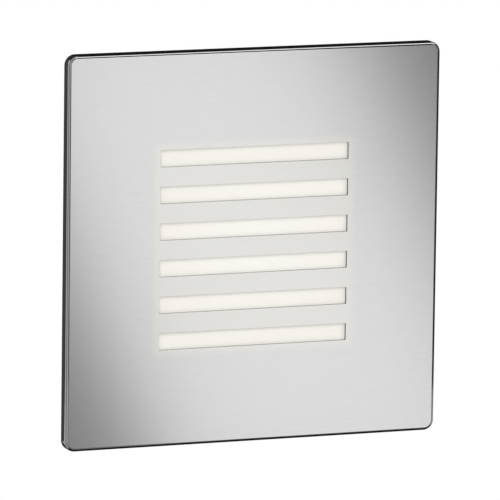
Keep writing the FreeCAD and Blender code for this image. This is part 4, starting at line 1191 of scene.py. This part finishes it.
PAN_HEAD = Screw(2.7 * MM, 1.9 * MM, 1.4 * MM, 0.85 * MM, Drive.CROSS)
WIRE_SCREW = Screw(1.25 * MM, 1.1 * MM, 1.25 * MM, 0.5 * MM, Drive.SLOT,
                   domed=False, pointed=False, segments=20)
STUD = Screw(2.2 * MM, 0.5 * MM, 1.5 * MM, 0.5 * MM, Drive.NONE, domed=False, pointed=False, segments=20)
FASTENERS: tuple[FastenerRow, ...] = (
    FastenerRow("rear_cover_screws", "cover_screws", PAN_HEAD, seed=3),
    FastenerRow("cable_clamp_screws", "clamp_screws", PAN_HEAD, seed=7),
    FastenerRow("board_screws", "light_board_screws", PAN_HEAD, seed=11),
    FastenerRow("driver_screws", "driver_board_screws", PAN_HEAD, seed=15),
    FastenerRow("terminal_screws", "wire_screws", WIRE_SCREW, 70.0, 19),
    FastenerRow("plate_studs", "threaded_studs", STUD, 0.0, 23),
    FastenerRow("stud_nuts", "hexagon_nuts", Nut(5.5 * MM, 2.4 * MM, 1.6 * MM), 60.0, 27),
)


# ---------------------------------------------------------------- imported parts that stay
class PackedParts:
    """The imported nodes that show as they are, each dressed in its slot's finish."""

    def __init__(self, shelf: FinishShelf) -> None:
        """Args:
            shelf: the finishes.
        """
        self.shelf = shelf

    def dress(self) -> None:
        """Gives every shown node its material."""
        for name, node in frame["nodes"].items():
            if node.hide_render:
                continue
            material = self.shelf.get(slot_of(name))
            for slot in node.material_slots:
                slot.material = material
            if not node.material_slots:
                node.data.materials.append(material)
            log.info("dressed %s in %s", name, slot_of(name))


# ---------------------------------------------------------------- studio
def even_light(name: str, level: float) -> bpy.types.Material:
    """Makes a material of plain even light, where a level of 1 is white."""
    material, graph = new_material(name)
    graph.tree.nodes.clear()
    light = graph.add("ShaderNodeEmission", {"Strength": level})
    graph.add("ShaderNodeOutputMaterial", {0: light.outputs[0]})
    return material


def put_on_stage(name: str, mesh: bmesh.types.BMesh, material: bpy.types.Material) -> bpy.types.Object:
    """Makes a stage object that only reflections show, and returns it."""
    thing = new_piece(name, mesh, material)
    for sight in ("camera", "diffuse", "transmission", "volume_scatter", "shadow"):
        setattr(thing, f"visible_{sight}", False)
    return thing


@dataclass(frozen=True)
class Card:
    """A flat card that polished surfaces mirror.

    Attributes:
        name: its name.
        width: its width.
        height: its height.
        place: its middle.
        aim: the point that it faces.
        level: how bright it is, where 1 is white.
    """

    name: str
    width: float
    height: float
    place: Vector
    aim: Vector = Vector((0.0, 0.0, 0.0))
    level: float = 1.0

    def build(self) -> bpy.types.Object:
        """Builds the card as a stage object and returns it."""
        mesh = bmesh.new()
        mesh.faces.new([mesh.verts.new((x * self.width / 2, y * self.height / 2, 0.0)) for x, y in SQUARE])
        card = put_on_stage(self.name, mesh, self.material())
        outwards = (self.place - self.aim).normalized()
        across = Vector((0.0, 0.0, 1.0)).cross(outwards).normalized()
        turn = Matrix((across, outwards.cross(across), outwards)).transposed().to_4x4()
        card.matrix_world = Matrix.Translation(self.place) @ turn
        return card

    def material(self) -> bpy.types.Material:
        """Even light over the whole card."""
        return even_light(self.name, self.level)


@dataclass(frozen=True)
class BandCard(Card):
    """A card with a soft bright band across it.

    Attributes:
        leans: directions across the band's start and its end, in degrees from the card's own +X.
        rise: distances across the band at which it starts and is full.
        fall: distances across the band at which it is still full and ends.
        low: level beside the band, as a share of the card's.
    """

    leans: tuple[float, float] = (24.0, 26.3)
    rise: tuple[float, float] = (-0.092, -0.056)
    fall: tuple[float, float] = (0.045, 0.1055)
    low: float = 0.21

    def material(self) -> bpy.types.Material:
        """Light in a band, by the distance across it."""
        material = super().material()
        graph = NodeGraph(material.node_tree)
        light = graph.tree.nodes["Emission"]
        place = graph.own_place()
        sides = []
        levels = ((self.low, 1.0), (1.0, self.low))
        for lean, reach, ends in zip(self.leans, (self.rise, self.fall), levels):
            angle = math.radians(lean)
            across = graph.add("ShaderNodeVectorMath", {0: place, 1: (math.cos(angle), math.sin(angle), 0.0)},
                               operation="DOT_PRODUCT")
            sides.append(graph.remap(across.outputs["Value"], reach, ends, "SMOOTHSTEP"))
        level = graph.math("MULTIPLY", graph.math("MINIMUM", *sides), self.level)
        graph.link(level, light.inputs["Strength"])
        return material


@dataclass(frozen=True)
class Flag:
    """A dark flag that only polished surfaces mirror, as a strip between two rows of points.

    Attributes:
        name: its name.
        first: points along one edge.
        second: points along the other edge.
        level: its brightness.
    """

    name: str
    first: Sequence[Vector]
    second: Sequence[Vector]
    level: float

    def build(self) -> bpy.types.Object:
        """Builds the flag as a stage object and returns it."""
        mesh = bmesh.new()
        rows = [[mesh.verts.new(point) for point in row] for row in (self.first, self.second)]
        for index in range(len(self.first) - 1):
            mesh.faces.new((rows[0][index], rows[0][index + 1], rows[1][index + 1], rows[1][index]))
        return put_on_stage(self.name, mesh, even_light(self.name, self.level))


def arc(centre: Vector, first: Vector, second: Vector, start: float = 0, end: float = 360) -> list[Vector]:
    """Points along part of an ellipse.

    Args:
        centre: its centre.
        first: half axis at 0 degrees.
        second: half axis at 90 degrees.
        start: where it starts, in degrees.
        end: where it ends, in degrees.

    Returns:
        The points, one about every 5 degrees.
    """
    steps = max(2, round(abs(end - start) / 5))
    turns = [math.radians(start + (end - start) * step / steps) for step in range(steps + 1)]
    return [centre + first * math.cos(turn) + second * math.sin(turn) for turn in turns]


@dataclass
class Studio:
    """White surroundings, a pale floor, soft lamps, and the cards, flags and tent that the steel mirrors.

    Attributes:
        floor_z: level of the floor, well below the light.
        floor_side: its width.
        card_distance: how far the band card is in front of the plate.
        side_distance: how far the left cards are from the plate.
        side_height: height of the left cards.
        low_card_z: level of the cards just above the floor.
        tent_half: half the width of the grey tent that polished surfaces mirror.
        tent_level: brightness of its front.
        tent_rear_level: brightness of its rear.
        tent_split: where the front ends and the rear starts.
        tent_above_floor: how far its bottom is above the floor.
        low_flag_rise: how far the low flags are above the tent's bottom.
        ring_radius: how far the flag all round stands from the light.
        ring_inner: where the flag below it starts.
        ring_top: level of its upper edge.
        over_radius: how far the flag overhead and the one on the right stand from the light.
        over_sides: the flag overhead's left and right edge.
        over_arc: where it starts and ends, in degrees.
        right_top: height of the flag on the right.
        right_arc: where it starts and ends, in degrees from +X towards the wall.
        dark: brightness of the flags that the darkest lines mirror.
        world_level: soft light from all round on what isn't polished.
        wall_half: half the width of the wall.
        wall_hole_half: half the width of the opening in it.
        wall_y: where its surface lies, just clear of the gasket.
    """

    floor_z: float = -0.22
    floor_side: float = 6.0
    card_distance: float = 0.33
    side_distance: float = 0.55
    side_height: float = 0.40
    low_card_z: float = -0.195
    tent_half: float = 1.4
    tent_level: float = 0.30
    tent_rear_level: float = 0.03
    tent_split: float = 0.15
    tent_above_floor: float = 0.01
    low_flag_rise: float = 5 * MM
    ring_radius: float = 1.2
    ring_inner: float = 0.8
    ring_top: float = -0.03
    over_radius: float = 1.1
    over_sides: tuple[float, float] = (0.20, 0.62)
    over_arc: tuple[float, float] = (-8, 188)
    right_top: float = 0.7
    right_arc: tuple[float, float] = (-34, 25)
    dark: float = 0.012
    world_level: float = 0.55
    wall_half: float = 3.0
    wall_hole_half: float = 62 * MM
    wall_y: float = 0.1 * MM

    def build(self) -> None:
        """Builds the whole studio."""
        self.build_world()
        self.build_floor()
        self.build_wall()
        self.build_tent()
        self.build_flags()
        self.build_cards()
        self.build_lamps()

    def build_world(self) -> None:
        """White for the camera, reflections and glass, and a soft even light for the rest."""
        world = bpy.data.worlds.new("white_surroundings")
        bpy.context.scene.world = world
        world.use_nodes = True
        world.node_tree.nodes.clear()
        graph = NodeGraph(world.node_tree)
        seen = graph.plainly_seen()
        soft = graph.add("ShaderNodeBackground", {"Color": WHITE, "Strength": self.world_level})
        white = graph.add("ShaderNodeBackground", {"Color": WHITE, "Strength": 1.0})
        graph.add("ShaderNodeOutputWorld", {0: graph.mix_shaders(seen, soft.outputs[0], white.outputs[0])})

    def pale_surface(self, name: str, own_light: float) -> bpy.types.Material:
        """Pale paint that shows nearly white, and can't be seen from behind.

        Args:
            name: the material's name.
            own_light: share of what is seen that is plain white instead of lit paint.

        Returns:
            The material.
        """
        material, graph = new_material(name)
        shader = graph.tree.nodes["Principled BSDF"]
        shader.inputs["Base Color"].default_value = (0.82, 0.82, 0.82, 1.0)
        shader.inputs["Roughness"].default_value = 0.9
        shader.inputs["Specular IOR Level"].default_value = 0.0
        lit = graph.math("MULTIPLY", graph.plainly_seen(), own_light)
        white = graph.add("ShaderNodeEmission", {"Color": WHITE, "Strength": 1.0})
        front = graph.mix_shaders(lit, shader.outputs[0], white.outputs[0])
        behind = graph.add("ShaderNodeNewGeometry").outputs["Backfacing"]
        clear = graph.add("ShaderNodeBsdfTransparent")
        both = graph.mix_shaders(behind, front, clear.outputs[0])
        graph.link(both, graph.tree.nodes["Material Output"].inputs[0])
        return material

    def build_floor(self) -> None:
        """Pale floor: nearly white to the camera, and still dimmed a little by the light's shadow."""
        mesh = bmesh.new()
        half = self.floor_side / 2
        mesh.faces.new([mesh.verts.new((x * half, y * half, self.floor_z)) for x, y in SQUARE])
        new_piece("pale_floor", mesh, self.pale_surface("pale_floor", 0.85))

    def build_wall(self) -> None:
        """White wall that the light is let into, with a square opening for its box."""
        mesh = bmesh.new()
        inner, outer = ([mesh.verts.new((x * half, self.wall_y, z * half)) for x, z in SQUARE]
                        for half in (self.wall_hole_half, self.wall_half))
        skin(mesh, (outer, inner))
        wall = new_piece("white_wall", mesh, self.pale_surface("white_wall", 1.0))
        wall.visible_glossy = False

    def build_tent(self) -> None:
        """Tent round the light that only reflections show: grey in front and dark behind."""
        size = 2 * self.tent_half
        rise = self.tent_half + self.floor_z + self.tent_above_floor
        for name, start, end, level in (
            ("grey_front_tent", -self.tent_half, self.tent_split, self.tent_level),
            ("dark_rear_tent", self.tent_split, self.tent_half, self.tent_rear_level),
        ):
            mesh = bmesh.new()
            bmesh.ops.create_cube(mesh, size=1.0)
            bmesh.ops.scale(mesh, verts=mesh.verts, vec=Vector((size, end - start, size)))
            bmesh.ops.translate(mesh, verts=mesh.verts, vec=Vector((0.0, (start + end) / 2, rise)))
            split = [face for face in mesh.faces if abs(face.calc_center_median().y - self.tent_split) < MM]
            bmesh.ops.delete(mesh, geom=split, context="FACES_ONLY")
            put_on_stage(name, mesh, even_light(name, level))

    def build_flags(self) -> None:
        """Dark flags where the bends on the pan's sides mirror them: all round, overhead and below."""
        along_x, along_y, along_z = Vector((1, 0, 0)), Vector((0, 1, 0)), Vector((0, 0, 1))
        bottom = self.floor_z + self.tent_above_floor + self.low_flag_rise

        def level_arc(z: float, radius: float, *ends: float) -> list[Vector]:
            """Points round the light at one level."""
            return arc(along_z * z, along_x * radius, along_y * radius, *ends)

        low_ring, high_ring = (level_arc(z, self.ring_radius) for z in (bottom, self.ring_top))
        over = [arc(along_x * x, along_y * -self.over_radius, along_z * self.over_radius, *self.over_arc)
                for x in self.over_sides]
        right = [level_arc(z, self.over_radius, *self.right_arc) for z in (0.0, self.right_top)]
        flags = [
            Flag("side_flag", low_ring, high_ring, 0.03),
            Flag("low_side_flag", level_arc(bottom, self.ring_inner), low_ring, 0.03),
            Flag("over_flag", *over, self.dark),
            Flag("right_flag", *right, 0.02),
        ]
        for name, near_sides, near_y, far_sides, far_y, level in (
            ("low_rear_flag", (-0.05, 0.21), 0.0, (0.24, 0.64), 1.25, self.dark),
            ("low_near_flag", (-0.12, 0.30), -0.13, (-0.12, 0.30), 0.14, self.dark),
            ("low_front_flag", (-0.12, 0.30), -0.28, (-0.12, 0.30), -0.13, 0.15),
        ):
            edges = [[Vector((near, near_y, bottom)), Vector((far, far_y, bottom))]
                     for near, far in zip(near_sides, far_sides)]
            flags.append(Flag(name, *edges, level))
        for flag in flags:
            flag.build()

    def mirror_point(self, distance: float) -> Vector:
        """Where the camera's line lands in front of the plate after the plate's face mirrors it."""
        back = PhotoCamera().back()
        return Vector((-back.x / -back.y * distance, -distance, -back.z / -back.y * distance))

    def build_cards(self) -> None:
        """Cards: the soft band that the face mirrors, and those that the bends mirror."""
        middle = self.mirror_point(self.card_distance)
        cards = [
            BandCard("band_card", 0.35, 0.27, middle, middle + Vector((0.0, 1.0, 0.0)), 1.09),
            Card("upper_front_card", 0.9, 0.46, Vector((0.33, -0.60, 0.74)), level=1.12),
            self.side_card("left_line_card", 34.0, 11.0, 0.56),
            self.side_card("left_middle_card", 63.0, 18.0, 0.21),
            self.side_card("left_outer_card", 98.0, 17.0, 0.50),
            self.side_card("left_rear_card", 152.0, 18.0, 0.06),
            self.low_card("low_left_card", 0.55, 0.32, -0.62, -0.62, 0.75),
            self.low_card("low_rear_left_card", 0.36, 0.36, -0.36, 0.34, 0.6),
            self.low_card("low_rear_right_card", 0.22, 0.30, 0.55, 0.37, 0.6),
            Card("rear_left_card", 0.7, 0.55, Vector((-1.0, 0.55, 0.55)), level=0.9),
            Card("rear_right_card", 0.5, 0.5, Vector((1.0, 0.6, 0.7)), level=0.9),
        ]
        for card in cards:
            card.build()

    def side_card(self, name: str, heading: float, half_span: float, level: float) -> Card:
        """A card on the left that the pan's left bend mirrors.

        Args:
            name: its name.
            heading: its middle's direction, in degrees from straight ahead towards the left.
            half_span: half the angle that it spans.
            level: its brightness.

        Returns:
            The card.
        """
        turn = math.radians(heading)
        place = Vector((-math.sin(turn), -math.cos(turn), 0.0)) * self.side_distance
        width = 2 * self.side_distance * math.tan(math.radians(half_span))
        return Card(name, width, self.side_height, place, level=level)

    def low_card(self, name: str, width: float, height: float, x: float, y: float, level: float) -> Card:
        """A card that lies just above the floor, for the steel to mirror when it is seen from above.

        Args:
            name: its name.
            width: its size along X.
            height: its size along Y.
            x: its middle.
            y: its middle.
            level: its brightness.

        Returns:
            The card. It faces a hair off straight down, so that its sides have a direction.
        """
        aim = Vector((x, y + math.copysign(MM, y), -1.0))
        return Card(name, width, height, Vector((x, y, self.low_card_z)), aim, level)

    def build_lamps(self) -> None:
        """Soft lamps that light what isn't polished."""
        for name, place, size, power in (
            ("key_lamp", Vector((-0.8, -1.2, 1.1)), 0.8, 9.0),
            ("fill_lamp", Vector((1.2, -0.8, 0.5)), 1.0, 5.0),
            ("rear_lamp", Vector((0.5, 1.4, 0.9)), 0.9, 8.0),
        ):
            data = bpy.data.lights.new(name, "AREA")
            data.shape = "SQUARE"
            data.size = size
            data.energy = power
            lamp = bpy.data.objects.new(name, data)
            bpy.context.scene.collection.objects.link(lamp)
            lamp.matrix_world = Matrix.LocRotScale(place, (-place).to_track_quat("-Z", "Y"), None)
            lamp.visible_camera = False
            lamp.visible_glossy = False


# ---------------------------------------------------------------- camera
@dataclass(frozen=True)
class PhotoCamera:
    """The photograph's long lens, on the left and a little above.

    Attributes:
        yaw: turn to the left of straight on, in degrees.
        pitch: height above the horizon, in degrees.
        roll: tilt about the line of sight, in degrees.
        distance: from the plate's face.
        focal_pixels: focal length in pixels of the frame.
        frame_pixels: width and height of the frame.
        sensor: sensor width in millimetres.
        aim_x: where the line of sight meets the plate's face, to the right of its middle.
        aim_z: the same, above its middle.
        clip: nearest and furthest distance that it shows.
    """

    yaw: float = 21.48
    pitch: float = 9.515
    roll: float = 0.777
    distance: float = 2.383
    focal_pixels: float = 6775.0
    frame_pixels: int = 500
    sensor: float = 36.0
    aim_x: float = -1.49 * MM
    aim_z: float = -1.41 * MM
    clip: tuple[float, float] = (0.1, 20.0)

    def back(self) -> Vector:
        """Returns the direction from the plate towards the camera."""
        yaw, pitch = math.radians(self.yaw), math.radians(self.pitch)
        return Vector((-math.sin(yaw) * math.cos(pitch), -math.cos(yaw) * math.cos(pitch), math.sin(pitch)))

    def build(self) -> bpy.types.Object:
        """Builds the camera and makes it the scene's.

        Returns:
            The camera's object.
        """
        yaw, roll = math.radians(self.yaw), math.radians(self.roll)
        back = self.back()
        right = Vector((math.cos(yaw), -math.sin(yaw), 0.0))
        up = back.cross(right)
        tilted_right = right * math.cos(roll) + up * math.sin(roll)
        tilted_up = up * math.cos(roll) - right * math.sin(roll)
        data = bpy.data.cameras.new("photo_camera")
        data.sensor_width = self.sensor
        data.lens = self.focal_pixels / self.frame_pixels * self.sensor
        data.clip_start, data.clip_end = self.clip
        camera = bpy.data.objects.new("photo_camera", data)
        bpy.context.scene.collection.objects.link(camera)
        aim = Vector((self.aim_x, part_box("front_plate")[0].y, self.aim_z))
        turn = Matrix((tilted_right, tilted_up, back)).transposed().to_4x4()
        camera.matrix_world = Matrix.Translation(aim + back * self.distance) @ turn
        bpy.context.scene.camera = camera
        return camera


def main() -> None:
    """Builds the light, its finishes and the studio, and reports each piece."""
    logging.basicConfig(level=logging.INFO, format="%(message)s")
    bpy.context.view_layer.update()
    shelf = FinishShelf(FINISHES)
    scene = bpy.context.scene
    scene.view_settings.view_transform = "Standard"
    PhotoCamera().build()
    log.info("built %s", FrontPlate(shelf).build().name)
    for part in (*SOFT_EDGED, *TORSION_SPRINGS):
        log.info("built %s", part.build(shelf).name)
    tree = FastenerTree()
    for row in FASTENERS:
        for piece in row.build(shelf, tree):
            log.info("built %s", piece.name)
    PackedParts(shelf).dress()
    Studio().build()


if __name__ == "__main__":
    main()
